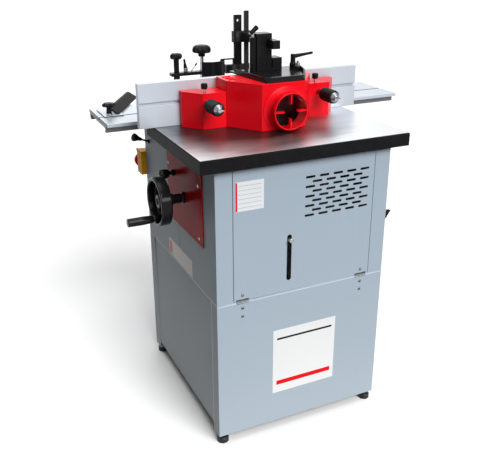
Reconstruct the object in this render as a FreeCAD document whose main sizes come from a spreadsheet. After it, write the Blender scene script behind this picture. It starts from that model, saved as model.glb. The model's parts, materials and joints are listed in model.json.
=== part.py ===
import FreeCAD, Part
import Sketcher
import math
import os
import re

# Spindle moulder: a floor-standing woodworking machine, as an assembly of separate pieces.
# Millimetres, +Z up. The origin is on the floor at the middle of the cabinet. +X is the handwheel side,
# -Y the operator's side with the sliding table, +Y the side of the service door and the dust port.

Vector = FreeCAD.Vector
Rotation = FreeCAD.Rotation
Placement = FreeCAD.Placement

doc = FreeCAD.newDocument("spindle_moulder")
sheet = doc.addObject("Spreadsheet::Sheet", "Sizes")

# Driving dimensions, one row of the sheet each
sizes = {
    # cabinet and base
    "cabinet_width": 520, "cabinet_depth": 566, "cabinet_top": 826, "seam_height": 452,
    "foot_height": 28, "sheet_gauge": 2.5, "base_flange": 41, "top_return": 20, "side_lap": 16,
    "side_raise": 20, "foot_tab": 44, "foot_tab_gauge": 4,
    # levelling feet
    "foot_radius": 17, "foot_pad": 13, "foot_shoulder": 4, "foot_neck": 12, "foot_inset": 15,
    "stud_radius": 5, "stud_top": 58, "nut_across": 9.5, "nut_height": 7,
    # screw heads
    "screw_radius": 4.5, "screw_dome": 2.4, "screw_crown": 2.2, "screw_land": 0.9,
    # service door
    "door_margin": 49, "door_gap": 1.5, "door_sill": 1, "door_head": 7, "door_return": 15,
    "louvre_right": 194, "louvre_left": 3.5, "louvre_length": 29, "louvre_height": 6.5,
    "louvre_top_row": 773, "louvre_row_pitch": 13.4, "louvre_rows": 9, "louvre_columns": 5,
    "door_slot_x": 47.6, "door_slot_width": 14, "door_slot_low": 485, "door_slot_high": 620,
    # hinges at the foot of the door
    "hinge_in": 25, "hinge_half": 18, "hinge_third": 6, "hinge_set_in": 1, "hinge_drop": 1,
    "knuckle_radius": 3, "hinge_pin_radius": 1.5, "hinge_notch": 7, "leaf_gauge": 2, "leaf_half": 15,
    "base_leaf_drop": 56, "door_leaf_rise": 34, "base_screw_high": 21, "base_screw_low": 46,
    "door_screw_rise": 17.5, "running_gap": 0.05, "hinge_end_gap": 0.4,
    # red side plate
    "plate_gauge": 3, "plate_front": 64, "plate_rear": 203, "plate_low": 588, "plate_top_gap": 1.5,
    "plate_screw_in": 10, "plate_screw_rear": 176, "plate_screw_high": 754, "plate_screw_rise": 18,
    # handwheel and its shaft
    "wheel_y": 65, "wheel_z": 686, "wheel_radius": 67, "rim_width": 31, "rim_wall": 9, "rim_round": 3,
    "web_gauge": 8,
    "wheel_stand_off": 54, "hub_radius": 25, "hub_back": 16, "hub_nose": 14, "shaft_radius": 9,
    "shaft_end_gap": 2, "bush_radius": 13, "bush_flange": 15.5, "bush_flange_gauge": 3,
    "bush_inside": 18, "bush_hole_gap": 0.5, "wheel_face_gap": 1,
    "grip_circle": 53, "grip_angle": 260, "grip_length": 74, "grip_radius": 12, "grip_waist": 9.5,
    "grip_bolt_radius": 4, "grip_gap": 1.5, "boss_radius": 9, "grip_round": 3,
    # height lock
    "lock_y": -6, "lock_z": 737.5, "lock_stem_radius": 5, "lock_collar_radius": 9, "lock_collar": 11,
    "lock_reach": 22, "lock_inside": 30, "lock_knob_radius": 13, "lock_knob_depth": 24,
    # side latch and side lever
    "latch_in": 16, "latch_z": 622, "latch_radius": 10, "latch_depth": 14, "latch_stem_radius": 4,
    "latch_inside": 12, "latch_ear": 22, "latch_ear_gauge": 3,
    "lever_y": -237.5, "lever_z": 768.3, "lever_rod_radius": 3, "lever_rod": 23, "lever_knob": 32,
    "lever_knob_radius": 13, "lever_tip_radius": 5, "lever_inside": 30, "lever_round": 8,
    "lever_tilt": 22.4, "lever_collar": 6, "lever_collar_radius": 6,
    # switch
    "switch_x": 252, "switch_width": 48, "switch_low": 648, "switch_high": 724, "switch_depth": 40,
    "switch_back": 2, "switch_bracket": 60, "flap_gauge": 5, "flap_gap": 1.2,
    "flap_hinge_drop": 5, "flap_pin_radius": 2, "flap_ear": 6, "flap_low": 6, "flap_nose": 12,
    "flap_chamfer": 12,
    "mushroom_radius": 18.5, "mushroom_depth": 11, "mushroom_stem": 7, "mushroom_lift": 26,
    "mushroom_travel": 4.5, "mushroom_crown": 4, "start_radius": 9, "start_depth": 4, "start_drop": 22,
    "start_sink": 8, "button_gap": 0.5,
    # cast table
    "table_width": 610, "table_rear": 303, "table_front": 108, "table_thick": 36, "table_plate": 14,
    "table_seat": 68, "table_rim": 22, "table_rib_x": 150, "table_rib": 10, "table_rib_drop": 8,
    "table_edge": 2.5,
    "ring_radius": 75, "ring_ledge": 65, "ring_gauge": 8, "ring_split": 56, "ring_bore": 44,
    "ring_gap": 0.35,
    # spindle, quill and carriage
    "spindle_x": -12, "spindle_y": -18, "arbor_radius": 15, "arbor_rise": 100, "journal_radius": 17.5,
    "tail_radius": 12, "collar_radius": 25, "collar_gauge": 8, "collar_lift": 3, "thread_radius": 13,
    "thread_length": 9, "spacer_radius": 25, "spacer_thick": 30, "spacer_thin": 14,
    "spindle_nut_across": 24, "spindle_nut_height": 17,
    "quill_radius": 40, "quill_top": 800, "bearing_radius": 31, "bearing_width": 18, "bearing_inset": 6,
    "quill_bore": 24, "fit_gap": 0.05,
    "carriage_low": 614, "carriage_gauge": 18, "column_offset": 80, "column_radius": 14,
    "sleeve_radius": 22, "sleeve_rise": 48, "column_low": 510,
    "motor_x": -95, "motor_y": 150, "motor_radius": 70, "motor_height": 160, "motor_flange_radius": 78,
    "motor_flange": 10, "motor_cap": 30, "motor_cap_radius": 58, "motor_box": 44, "motor_box_height": 62,
    "motor_box_depth": 22, "motor_shaft_radius": 9, "motor_shaft_inside": 60, "carriage_margin": 26,
    # belt drive
    "motor_pulley_radius": 45, "motor_pulley_small": 34, "spindle_pulley_radius": 30,
    "spindle_pulley_large": 38, "pulley_lip": 5, "groove_height": 12, "pulley_wall": 3, "pulley_drop": 4,
    "belt_gauge": 6, "belt_height": 10, "belt_gap": 0.3, "tail_gap": 2,
    # height screw and bevel gears
    "screw_x": 60, "lift_screw_radius": 8, "lift_screw_low": 500, "gear_inner": 22, "gear_outer": 34,
    "gear_hub_radius": 16, "gear_hub": 9, "gear_teeth": 16, "gear_root_angle": 40, "gear_tip_angle": 47.5,
    "gear_tooth_angle": 7, "lift_nut_radius": 16, "lift_nut_drop": 7,
    "bracket_gauge": 12, "bracket_half": 25, "bracket_x": 100, "bracket_gap": 1, "bracket_reach": 20,
    "tension_z": 606, "tension_rod_radius": 5, "tension_knob_radius": 6.3, "tension_knob": 12,
    "tension_arm_half": 12, "tension_lug": 12, "tension_lug_in": 51, "tension_lug_low": 592,
    "tension_out": 3,
    "tension_inside": 8, "tension_round": 2,
    # sliding table and its rail
    "slide_low_x": 575, "slide_high_x": 412, "slide_front": 345, "slide_rear": 130, "slide_edge": 10,
    "slide_body_front": 338, "slide_body_rear": 150, "slide_deck": 14, "slide_slot_y": -222,
    "slot_mouth": 8, "slot_lip": 4, "slot_inner": 15, "slot_depth": 10, "leg_gauge": 8, "leg_drop": 29,
    "leg_lip": 14, "leg_lip_gauge": 5, "way_gap": 0.4,
    "rail_low_x": 527, "rail_high_x": 400, "rail_flange": 8, "rail_stem_in": 22, "rail_stem": 9,
    "bracket_slide_in": 25, "bracket_slide_half": 22, "bracket_slide_front": 276, "bracket_slide_rear": 130,
    # mitre plate, stop bar and knob
    "mitre_x": 381, "mitre_plate_gauge": 4, "mitre_plate_left": 17, "mitre_plate_right": 40,
    "mitre_plate_length": 98,
    "mitre_plate_behind": 12, "mitre_hub_radius": 9, "mitre_hub": 14, "mitre_stem_radius": 5,
    "mitre_knob_z": 26, "mitre_knob_radius": 20, "mitre_knob_depth": 11, "mitre_bolt_radius": 3.5,
    "stop_bar_length": 236, "stop_bar_across": 28, "stop_bar_rise": 17.5, "stop_bar_gauge": 8,
    "stop_bar_heading": 240, "stop_bar_back": 29, "stop_bar_shift": 5,
    # hold-down on the sliding table
    "hold_x": 143.5, "hold_y": -290, "hold_post_radius": 10, "hold_foot": 44, "hold_foot_gauge": 8,
    "hold_arm_low": 950, "hold_arm_gauge": 10, "hold_arm_half": 12, "hold_arm_back": 20,
    "hold_screw_reach": 84.5, "hold_screw_radius": 7, "hold_screw_low": 886, "hold_pad_radius": 18,
    "hold_pad": 10, "mushroom_knob_radius": 31, "mushroom_knob": 36, "hold_screw_top": 1004,
    "hold_sleeve_radius": 8.5, "hold_sleeve": 42, "hold_knob_radius": 20, "hold_knob_depth": 17,
    "hold_stem_radius": 4, "hold_lever_reach": 30, "clamp_hub_radius": 7, "clamp_hub": 12, "clamp_arm": 34,
    "hold_lever_root": 6.5,
    "hold_lever_tip": 3.5,
    "hold_lever_lean": 7,
    # cutter hood, port and fence boxes
    "hood_x": -12, "hood_height": 128, "hood_wall": 4, "hood_front": 34, "port_face_y": 127,
    "port_face_half": 66, "shoulder_y": 35.5, "shoulder_half": 131,
    "port_x": -16, "port_z": 918, "port_radius": 51, "port_wall": 4, "port_end": 163, "bell_radius": 66,
    "bell_depth": 5, "bell_neck": 14, "bell_waist": 56, "port_rib": 5, "port_rib_depth": 12,
    "port_rib_in": 20,
    "port_rib_set": 1, "bell_seat": 0.4,
    "box_height": 98, "box_rear": 35.5, "box_corner_left": 198.5, "box_corner_right": 197,
    "box_side_left": 240, "box_side_right": 239, "box_chamfer_y": -18,
    "box_wall": 4, "hood_plate_gauge": 5, "hood_plate_front": 70, "hood_plate_rear": 121,
    "hood_plate_left_rear": 38, "hood_plate_left_front": 62, "hood_plate_right_rear": 78,
    "hood_plate_right": 123, "hood_plate_corner": 44,
    "rim_slot": 22, "rim_slot_width": 5, "rim_slot_pitch": 22, "rim_slot_x": 96, "rim_slot_y": -20,
    # fence boards, carriers, adjusters and clamp knobs
    "board_rear": 38, "board_thick": 20, "board_height": 124, "board_length": 280, "board_left_end": 357,
    "board_right_end": 335,
    "groove_low": 62, "groove_high": 71, "groove_cut": 9,
    "carrier_near": 22, "carrier_far": 7, "carrier_rear": 26, "carrier_low": 6, "carrier_high": 86,
    "key_gap": 0.6, "face_gap": 0.3, "key_reach": 6,
    "adjuster_left": 190, "adjuster_right": 162, "adjuster_z": 934, "adjuster_screw": 5, "adjuster_tip": 28,
    "adjuster_collar": 11,
    "adjuster_collar_radius": 7, "adjuster_radius": 19, "adjuster_shoulder": 14, "adjuster_body": 74,
    "adjuster_cap_radius": 15, "adjuster_cap": 12, "adjuster_tab": 8, "adjuster_tab_gauge": 5,
    "adjuster_tab_half": 11, "adjuster_taper": 8, "adjuster_edge": 3,
    "clamp_left": 189, "clamp_right": 156, "clamp_y": 22, "clamp_stem_radius": 3, "clamp_stem": 10,
    "clamp_knob_radius": 9,
    "clamp_knob_height": 16, "clamp_end_gap": 1, "knob_edge": 1.5,
    # pressure device over the fence
    "post_left": 4, "post_right": 51, "post_front": 66, "post_rear": 25, "post_height": 104,
    "post_foot_right": 84, "post_foot_gauge": 6, "foot_block": 30, "foot_block_height": 35,
    "post_rod_radius": 10, "post_rod_y": -40, "post_rod_height": 93,
    "bar_left": 35, "bar_right": 57, "bar_rise": 65, "bar_height": 23, "bar_rear": 14, "bar_front": 197,
    "bar_gap": 0.4, "head_left": 10, "head_right": 66, "head_front": 215, "head_under": 7,
    "head_over": 3,
    "upright_y": -206, "upright_gauge": 8, "flat_left": 14, "flat_right": 38, "flat_rise": 138,
    "thin_left": 48, "thin_right": 62, "thin_rise": 149, "upright_clear": 100, "flat_hole": 4,
    "flat_hole_drop": 16, "cross_end": -16, "cross_height": 26, "cross_gauge": 16, "shoe_pin_x": 26,
    "shoe_pin_radius": 4, "shoe_barrel": 7, "shoe_gauge": 4, "shoe_flat": 34, "shoe_bend": 40,
    "shoe_bend_angle": 62, "shoe_under": 14, "shoe_height": 54, "shoe_ahead": 14, "shoe_gap": 0.5,
    "post_lever_stud": 3, "post_lever_arm": 30, "post_lever_root": 5, "post_lever_tip": 5.5,
    "post_lever_set": 6, "post_lever_hub_radius": 4.6, "post_lever_rise": 2, "post_lever_lean": 50,
    "post_lever_hub": 9, "post_lever_collar": 16,
    "plate_lever_x": -128, "plate_lever_y": -40, "plate_lever_hub_radius": 10, "plate_lever_hub": 40,
    "plate_lever_arm": 66, "plate_lever_root": 6,
    "plate_lever_tip": 4, "plate_lever_lean": 84, "plate_lever_stud": 5, "hood_plate_right_front": 141,
    "hood_plate_step": 12,
    # helpers
    "overrun": 2,
}

# Places that follow from the driving dimensions
derived = {
    "cab_x": "cabinet_width / 2",
    "cab_y": "cabinet_depth / 2",
    "inner_x": "cab_x - sheet_gauge",
    "inner_y": "cab_y - sheet_gauge",
    "table_top": "cabinet_top + table_thick",
    "table_x": "table_width / 2",
    "plate_ceiling": "table_top - table_plate",
    "foot_x": "inner_x - foot_inset",
    "foot_y": "inner_y - foot_inset",
    "tab_top": "foot_height + foot_tab_gauge",
    "hinge_y": "cab_y - hinge_set_in",
    "hinge_z": "seam_height - hinge_drop",
    "door_bottom": "seam_height + door_sill",
    "plate_face": "cab_x + plate_gauge",
    "wheel_back": "plate_face + wheel_stand_off",
    "wheel_front": "wheel_back + rim_width",
    "hub_end": "wheel_back - hub_back",
    "grip_y": "wheel_y + grip_circle * cos(grip_angle * 1 deg)",
    "grip_z": "wheel_z + grip_circle * sin(grip_angle * 1 deg)",
    "switch_front": "-cab_y - switch_back - switch_depth",
    "switch_face": "-cab_y - switch_back",
    "carriage_high": "carriage_low + carriage_gauge",
    "column_left": "spindle_x + column_offset",
    "column_right": "spindle_x - column_offset",
    "collar_low": "quill_top + collar_lift",
    "collar_high": "collar_low + collar_gauge",
    "groove_top": "carriage_low - pulley_drop - pulley_wall",
    "groove_low_z": "groove_top - groove_height",
    "second_top": "groove_low_z - pulley_wall",
    "second_low": "second_top - groove_height",
    "pulley_low": "second_low - pulley_wall",
    "pulley_high": "groove_top + pulley_wall",
    "deck_low": "table_top - slide_deck",
    "way_low": "deck_low - way_gap",
    "rail_low": "way_low - rail_flange - rail_stem",
    "hood_top": "table_top + hood_height",
    "box_top": "table_top + box_height",
    "box_mid": "hood_x",
    "board_front": "board_rear + board_thick",
    "board_top": "table_top + board_height",
    "plate_top": "hood_top + hood_plate_gauge",
    "bracket_arm_top": "wheel_z - gear_outer * cos(gear_root_angle * 1 deg) - gear_hub - bracket_gap",
    "stop_foot_z": "table_top + mitre_plate_gauge",
    "hold_arm_high": "hold_arm_low + hold_arm_gauge",
    "hold_screw_x": "hold_x - hold_screw_reach",
    "hold_lever_x": "hold_x - hold_lever_reach",
    "lug_face": "tension_lug_y + tension_lug",
    "tension_lug_y": "cab_y - tension_lug_in",
    "door_half_width": "cab_x - door_margin",
    "door_top": "cabinet_top - door_head",
    "hinge_x": "door_half_width - hinge_in",
    "latch_y": "cab_y - latch_in",
    "bracket_slide_x": "cab_x - bracket_slide_in",
    "arbor_top": "table_top + arbor_rise",
    "post_top": "plate_top + post_height",
    "post_rod_top": "plate_top + post_rod_height",
    "bar_low": "plate_top + bar_rise",
    "bar_high": "bar_low + bar_height",
    "head_low": "bar_low - head_under",
    "head_high": "bar_high + head_over",
    "flat_top": "plate_top + flat_rise",
    "thin_top": "plate_top + thin_rise",
    "upright_low": "table_top + upright_clear",
    "cross_high": "upright_low + cross_height",
    "shoe_low": "upright_low - shoe_under",
    "shoe_high": "shoe_low + shoe_height",
}

for row, (alias, value) in enumerate(sizes.items(), start=1):
    sheet.set("A%d" % row, alias)
    sheet.set("B%d" % row, str(value))
    sheet.setAlias("B%d" % row, alias)
doc.recompute()

known_word = re.compile(r"[a-z_][a-z_0-9]*")


# The text of a size or place with every name led back to the sheet
def linked(text):
    def swap(found):
        word = found.group(0)
        if word in derived:
            return "(" + linked(derived[word]) + ")"
        if word in sizes:
            return "Sizes." + word
        return word
    return known_word.sub(swap, text)


# The present value of a size or place
def worked(text):
    def swap(found):
        word = found.group(0)
        if word in derived:
            return "(" + known_word.sub(swap, derived[word]) + ")"
        if word in sizes:
            return "(%.9f)" % float(sheet.get(word))
        if word == "deg":
            return "* %.15f" % math.radians(1)
        return word
    return float(FreeCAD.Units.Quantity(known_word.sub(swap, text)).Value)


def bind(thing, path, text):
    thing.setExpression(path, linked(text))


def across(axis):
    return [other for other in "xyz" if other != axis]


def difference(end, start):
    return "(%s) - (%s)" % (end, start)


# A straight-sided block between two limits along each axis
def block(name, along_x, along_y, along_z):
    piece = doc.addObject("Part::Box", name)
    for axis, side, limits in zip("xyz", ("Length", "Width", "Height"), (along_x, along_y, along_z)):
        bind(piece, side, difference(limits[1], limits[0]))
        bind(piece, "Placement.Base." + axis, limits[0])
    return piece


upright_turn = {
    "x": Rotation(Vector(0, 1, 0), 90),
    "y": Rotation(Vector(1, 0, 0), -90),
    "z": Rotation(),
}


# A round bar along one axis, centred on the two other places
def rod(name, axis, radius, limits, centre):
    piece = doc.addObject("Part::Cylinder", name)
    piece.Placement = Placement(Vector(), upright_turn[axis])
    bind(piece, "Radius", radius)
    bind(piece, "Height", difference(limits[1], limits[0]))
    bind(piece, "Placement.Base." + axis, limits[0])
    for other, place in zip(across(axis), centre):
        bind(piece, "Placement.Base." + other, place)
    return piece


# A hexagon bar along Z
def hexagon(name, across_corners, limits, centre):
    piece = doc.addObject("Part::Prism", name)
    piece.Polygon = 6
    bind(piece, "Circumradius", across_corners)
    bind(piece, "Height", difference(limits[1], limits[0]))
    bind(piece, "Placement.Base.z", limits[0])
    for other, place in zip("xy", centre):
        bind(piece, "Placement.Base." + other, place)
    return piece


# A closed outline of straight lines in a body's XY plane, every corner held by two sizes
def outline_sketch(body, name, corners):
    sketch = body.newObject("Sketcher::SketchObject", name)
    plane = [item for item in body.Origin.OriginFeatures if item.Role == "XY_Plane"][0]
    sketch.AttachmentSupport = [(plane, "")]
    sketch.MapMode = "FlatFace"
    points = [Vector(worked(first), worked(second), 0) for first, second in corners]
    count = len(points)
    for index in range(count):
        sketch.addGeometry(Part.LineSegment(points[index], points[(index + 1) % count]), False)
    for index in range(count):
        sketch.addConstraint(Sketcher.Constraint("Coincident", index, 2, (index + 1) % count, 1))
    for index, (first, second) in enumerate(corners):
        held_x = sketch.addConstraint(Sketcher.Constraint("DistanceX", -1, 1, index, 1, points[index].x))
        sketch.setExpression("Constraints[%d]" % held_x, linked(first))
        held_y = sketch.addConstraint(Sketcher.Constraint("DistanceY", -1, 1, index, 1, points[index].y))
        sketch.setExpression("Constraints[%d]" % held_y, linked(second))
    return sketch


pad_turn = {
    "x": Rotation(Vector(1, 1, 1), 120),
    "y": Rotation(Vector(1, 1, 1), 240),
    "z": Rotation(),
}


# An outline pushed out along one axis; corners are (y, z) along X, (z, x) along Y and (x, y) along Z
def prism(name, axis, corners, limits):
    body = doc.addObject("PartDesign::Body", name)
    body.Placement = Placement(Vector(), pad_turn[axis])
    bind(body, "Placement.Base." + axis, limits[0])
    pad = body.newObject("PartDesign::Pad", name + "_pad")
    pad.Profile = outline_sketch(body, name + "_outline", corners)
    bind(pad, "Length", difference(limits[1], limits[0]))
    body.Tip = pad
    return body


lathe_turn = {
    "x": Rotation(Vector(0, 0, 1), -90),
    "y": Rotation(),
    "z": Rotation(Vector(1, 0, 0), 90),
}


# A turned piece; the profile is a list of (radius, place along the axis)
def turned(name, axis, profile, centre):
    body = doc.addObject("PartDesign::Body", name)
    body.Placement = Placement(Vector(), lathe_turn[axis])
    for other, place in zip(across(axis), centre):
        bind(body, "Placement.Base." + other, place)
    sketch = outline_sketch(body, name + "_profile", profile)
    turn = body.newObject("PartDesign::Revolution", name + "_turn")
    turn.Profile = sketch
    turn.ReferenceAxis = (sketch, ["V_Axis"])
    turn.Angle = 360
    body.Tip = turn
    return body


def fuse(name, *pieces):
    joined = doc.addObject("Part::MultiFuse", name)
    joined.Shapes = list(pieces)
    joined.Refine = True
    return joined


def cut(name, base, *tools):
    result = doc.addObject("Part::Cut", name)
    result.Base = base
    result.Tool = tools[0] if len(tools) == 1 else fuse(name + "_tools", *tools)
    return result


def group(name, *pieces):
    together = doc.addObject("Part::Compound", name)
    together.Links = list(pieces)
    return together


nodes = []


# Names a finished sub-part
def node(piece, label):
    piece.Label = label
    nodes.append(piece)
    return piece


# A flat-bottomed screw head standing out along an axis; way is "+" or "-"
def screw_head(name, axis, way, face, centre):
    tip = "%s %s screw_dome" % (face, way)
    edge = "%s %s screw_land" % (face, way)
    profile = [("0", face), ("screw_radius", face), ("screw_radius", edge), ("screw_crown", tip),
               ("0", tip)]
    return turned(name, axis, profile, centre)


# A lobed knob on a stem, along an axis; way is "+" or "-"
lobe_count = 6
lobe_share = 0.36
lobe_circle_share = 0.66


def star_knob(name, axis, radius, limits, centre):
    parts = [rod(name + "_core", axis, radius + " * %s" % (lobe_circle_share + lobe_share / 2), limits,
                 centre)]
    for index in range(lobe_count):
        angle = 360 * index / lobe_count
        reach = "%s * %s" % (radius, lobe_circle_share)
        place = ("%s + %s * cos(%s deg)" % (centre[0], reach, angle),
                 "%s + %s * sin(%s deg)" % (centre[1], reach, angle))
        parts.append(rod("%s_lobe_%d" % (name, index), axis, radius + " * %s" % lobe_share, limits, place))
    return parts


# A tapered lever arm from a hub; heading is measured round Z from +X, lean from upright
def lever_arm(name, root, length, radii, heading, lean):
    arm = doc.addObject("Part::Cone", name)
    arm.Placement = Placement(Vector(), Rotation(Vector(0, 0, 1), heading) * Rotation(Vector(0, 1, 0),
                                                                                      lean))
    bind(arm, "Radius1", radii[0])
    bind(arm, "Radius2", radii[1])
    bind(arm, "Height", length)
    for axis, place in zip("xyz", root):
        bind(arm, "Placement.Base." + axis, place)
    return arm


def mirrored_name(side):
    return "left" if side > 0 else "right"


# Base stand: a front and a rear panel folded round the corners, two side panels behind the folds, foot tabs
def base_panels():
    panels = []
    for face, way in (("rear", ""), ("front", "-")):
        far = way + "cab_y"
        inside = way + "inner_y"
        fold = way + "(cab_y - base_flange)"
        corners = [("cab_x", far), ("-cab_x", far), ("-cab_x", fold), ("-inner_x", fold),
                   ("-inner_x", inside), ("inner_x", inside), ("inner_x", fold), ("cab_x", fold)]
        folded = prism("base_%s_sheet" % face, "z", corners, ("foot_height", "seam_height"))
        panels.append(cut("base_rear", folded, *hinge_notches("base")) if face == "rear" else folded)
        tab_y = sorted([way + "(inner_y - foot_tab)", inside], key=worked)
        for side in ("left", "right"):
            tag = "%s_%s" % (face, side)
            tab_x = ("inner_x - foot_tab", "inner_x") if side == "left" else ("-inner_x",
                                                                              "-inner_x + foot_tab")
            foot = ("foot_x" if side == "left" else "-foot_x", way + "foot_y")
            hole = rod("tab_hole_" + tag, "z", "stud_radius + fit_gap",
                       ("foot_height - overrun", "tab_top + overrun"), foot)
            panels.append(cut("foot_tab_" + tag,
                              block("tab_" + tag, tab_x, tab_y, ("foot_height", "tab_top")), hole))
    lap = "cab_y - base_flange + side_lap"
    for corner in (1, -1):
        limits = ("inner_x - sheet_gauge", "inner_x") if corner > 0 else ("-inner_x",
                                                                          "-inner_x + sheet_gauge")
        panels.append(block("base_side_" + mirrored_name(corner), limits, ("-(%s)" % lap, lap),
                            ("foot_height + side_raise", "seam_height")))
    return node(group("base_panels", *panels), "base_panels")


# Room for the hinges in the sheets that meet at the door's foot
def hinge_notches(tag):
    notches = []
    for corner in (1, -1):
        middle = "hinge_x" if corner > 0 else "-hinge_x"
        notches.append(block("hinge_notch_%s_%s" % (tag, mirrored_name(corner)),
                             (middle + " - hinge_half - hinge_end_gap",
                              middle + " + hinge_half + hinge_end_gap"),
                             ("inner_y - hinge_notch", "cab_y + overrun"),
                             ("hinge_z - hinge_notch", "hinge_z + hinge_notch")))
    return notches


def levelling_feet():
    feet = []
    profile = [("0", "0"), ("foot_radius", "0"), ("foot_radius", "foot_pad"),
               ("foot_neck", "foot_pad + foot_shoulder"), ("stud_radius", "foot_pad + foot_shoulder"),
               ("stud_radius", "stud_top"), ("0", "stud_top")]
    for x_way in ("", "-"):
        for y_way in ("", "-"):
            feet.append(turned("foot_%d" % len(feet), "z", profile, (x_way + "foot_x", y_way + "foot_y")))
    return node(group("levelling_feet", *feet), "levelling_feet")


# Foot nuts above the tabs, screws of the side plate and of the base half of the hinges
def cabinet_fasteners():
    pieces = []
    for x_way in ("", "-"):
        for y_way in ("", "-"):
            tag = "foot_nut_%d" % len(pieces)
            centre = (x_way + "foot_x", y_way + "foot_y")
            pieces.append(cut(tag, hexagon(tag + "_body", "nut_across", ("tab_top", "tab_top + nut_height"),
                                           centre),
                              rod(tag + "_bore", "z", "stud_radius + fit_gap",
                                  ("tab_top - overrun", "tab_top + nut_height + overrun"), centre)))
    for y_place in ("-plate_front + plate_screw_in", "plate_screw_rear"):
        for z_place in ("plate_low + plate_screw_rise", "plate_screw_high"):
            pieces.append(screw_head("plate_screw_%d" % len(pieces), "x", "+", "plate_face",
                                     (y_place, z_place)))
    for x_place in ("hinge_x", "-hinge_x"):
        for drop in ("base_screw_high", "base_screw_low"):
            pieces.append(screw_head("base_screw_%d" % len(pieces), "y", "+", "cab_y",
                                     (x_place, "seam_height - " + drop)))
    return node(group("cabinet_fasteners", *pieces), "cabinet_fasteners")


# Each hinge: two outer knuckles and the pin on the base leaf, the middle knuckle on the door leaf
def hinge_leaves():
    base_leaves = []
    door_leaves = []
    for corner in (1, -1):
        tag = mirrored_name(corner)
        middle = "hinge_x" if corner > 0 else "-hinge_x"
        centre = ("hinge_y", "hinge_z")
        leaf_x = (middle + " - leaf_half", middle + " + leaf_half")
        leaf_y = ("inner_y - leaf_gauge", "inner_y")
        solid = fuse("base_hinge_" + tag,
                     block("base_leaf_" + tag, leaf_x, leaf_y, ("hinge_z - base_leaf_drop", "hinge_z")),
                     rod("base_knuckle_" + tag, "x", "knuckle_radius",
                         (middle + " - hinge_half", middle + " + hinge_half"), centre))
        gap_x = (middle + " - hinge_third - hinge_end_gap", middle + " + hinge_third + hinge_end_gap")
        opened = cut("base_hinge_open_" + tag, solid,
                     rod("base_hinge_gap_" + tag, "x", "knuckle_radius + hinge_drop", gap_x, centre))
        base_leaves.append(fuse("base_hinge_whole_" + tag, opened,
                                rod("hinge_pin_" + tag, "x", "hinge_pin_radius",
                                    (middle + " - hinge_half", middle + " + hinge_half"), centre)))
        door_solid = fuse("door_hinge_" + tag,
                          block("door_leaf_" + tag, leaf_x, leaf_y,
                                ("hinge_z + knuckle_radius + hinge_drop", "hinge_z + door_leaf_rise")),
                          block("door_neck_" + tag, (middle + " - hinge_third", middle + " + hinge_third"),
                                leaf_y,
                                ("hinge_z", "hinge_z + door_leaf_rise")),
                          rod("door_knuckle_" + tag, "x", "knuckle_radius",
                              (middle + " - hinge_third", middle + " + hinge_third"), centre))
        door_leaves.append(cut("door_hinge_bored_" + tag, door_solid,
                               rod("door_pin_bore_" + tag, "x", "hinge_pin_radius + running_gap",
                                   (middle + " - hinge_half", middle + " + hinge_half"), centre)))
        door_leaves.append(screw_head("door_screw_" + tag, "y", "+", "cab_y",
                                      (middle, "seam_height + door_screw_rise")))
    node(group("base_hinge_leaves", *base_leaves), "base_hinge_leaves")
    node(group("door_hinge_leaves", *door_leaves), "door_hinge_leaves")


# Upper cabinet: one folded sheet with an opening for the door and holes for what passes through
def cabinet_shell():
    z_limits = ("seam_height", "cabinet_top")
    outer = block("shell_outer", ("-cab_x", "cab_x"), ("-cab_y", "cab_y"), z_limits)
    hollow = block("shell_hollow", ("-inner_x", "inner_x"), ("-inner_y", "inner_y"),
                   ("seam_height + sheet_gauge", "cabinet_top - sheet_gauge"))
    mouth = block("shell_mouth", ("-inner_x + top_return", "inner_x - top_return"),
                  ("-inner_y + top_return", "inner_y - top_return"),
                  ("seam_height - overrun", "cabinet_top + overrun"))
    doorway = block("shell_doorway", ("-door_half_width - door_gap", "door_half_width + door_gap"),
                    ("inner_y", "cab_y + overrun"), ("seam_height - overrun", "cabinet_top - sheet_gauge"))
    through = ("inner_x - overrun", "cab_x + overrun")
    holes = [
        rod("shell_bush_hole", "x", "bush_radius + bush_hole_gap", through, ("wheel_y", "wheel_z")),
        rod("shell_lock_hole", "x", "lock_stem_radius + fit_gap", through, ("lock_y", "lock_z")),
        rod("shell_lever_hole", "x", "lever_rod_radius + fit_gap", through, ("lever_y", "lever_z")),
        rod("shell_latch_hole", "x", "latch_stem_radius + fit_gap",
            ("-cab_x - overrun", "-inner_x + overrun"),
            ("latch_y", "latch_z")),
    ]
    return node(cut("cabinet_shell", outer, hollow, mouth, doorway, *hinge_notches("shell"), *holes),
                "cabinet_shell")


# Rows of round-ended slots, every second row one slot shorter and half a pitch on
def louvre_cutters():
    length = worked("louvre_length")
    height = worked("louvre_height")
    columns = int(worked("louvre_columns"))
    pitch = (worked("louvre_right") + worked("louvre_left") - length) / (columns - 1)
    start = worked("louvre_left") - length / 2
    radius = height / 2
    reach = length / 2 - radius
    back = worked("inner_y - overrun")
    depth = worked("sheet_gauge + 2 * overrun")
    cutters = []
    for row in range(int(worked("louvre_rows"))):
        z_place = worked("louvre_top_row") - row * worked("louvre_row_pitch")
        for column in range(columns - row % 2):
            x_place = start - (column + (row % 2) / 2) * pitch
            slot = Part.makeBox(2 * reach, depth, height, Vector(x_place - reach, back, z_place - radius))
            for end in (-reach, reach):
                round_end = Part.makeCylinder(radius, depth, Vector(x_place + end, back, z_place),
                                              Vector(0, 1, 0))
                slot = slot.fuse(round_end)
            cutters.append(slot.removeSplitter())
    feature = doc.addObject("Part::Feature", "louvre_cutters")
    feature.Shape = Part.makeCompound(cutters)
    return feature


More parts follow.
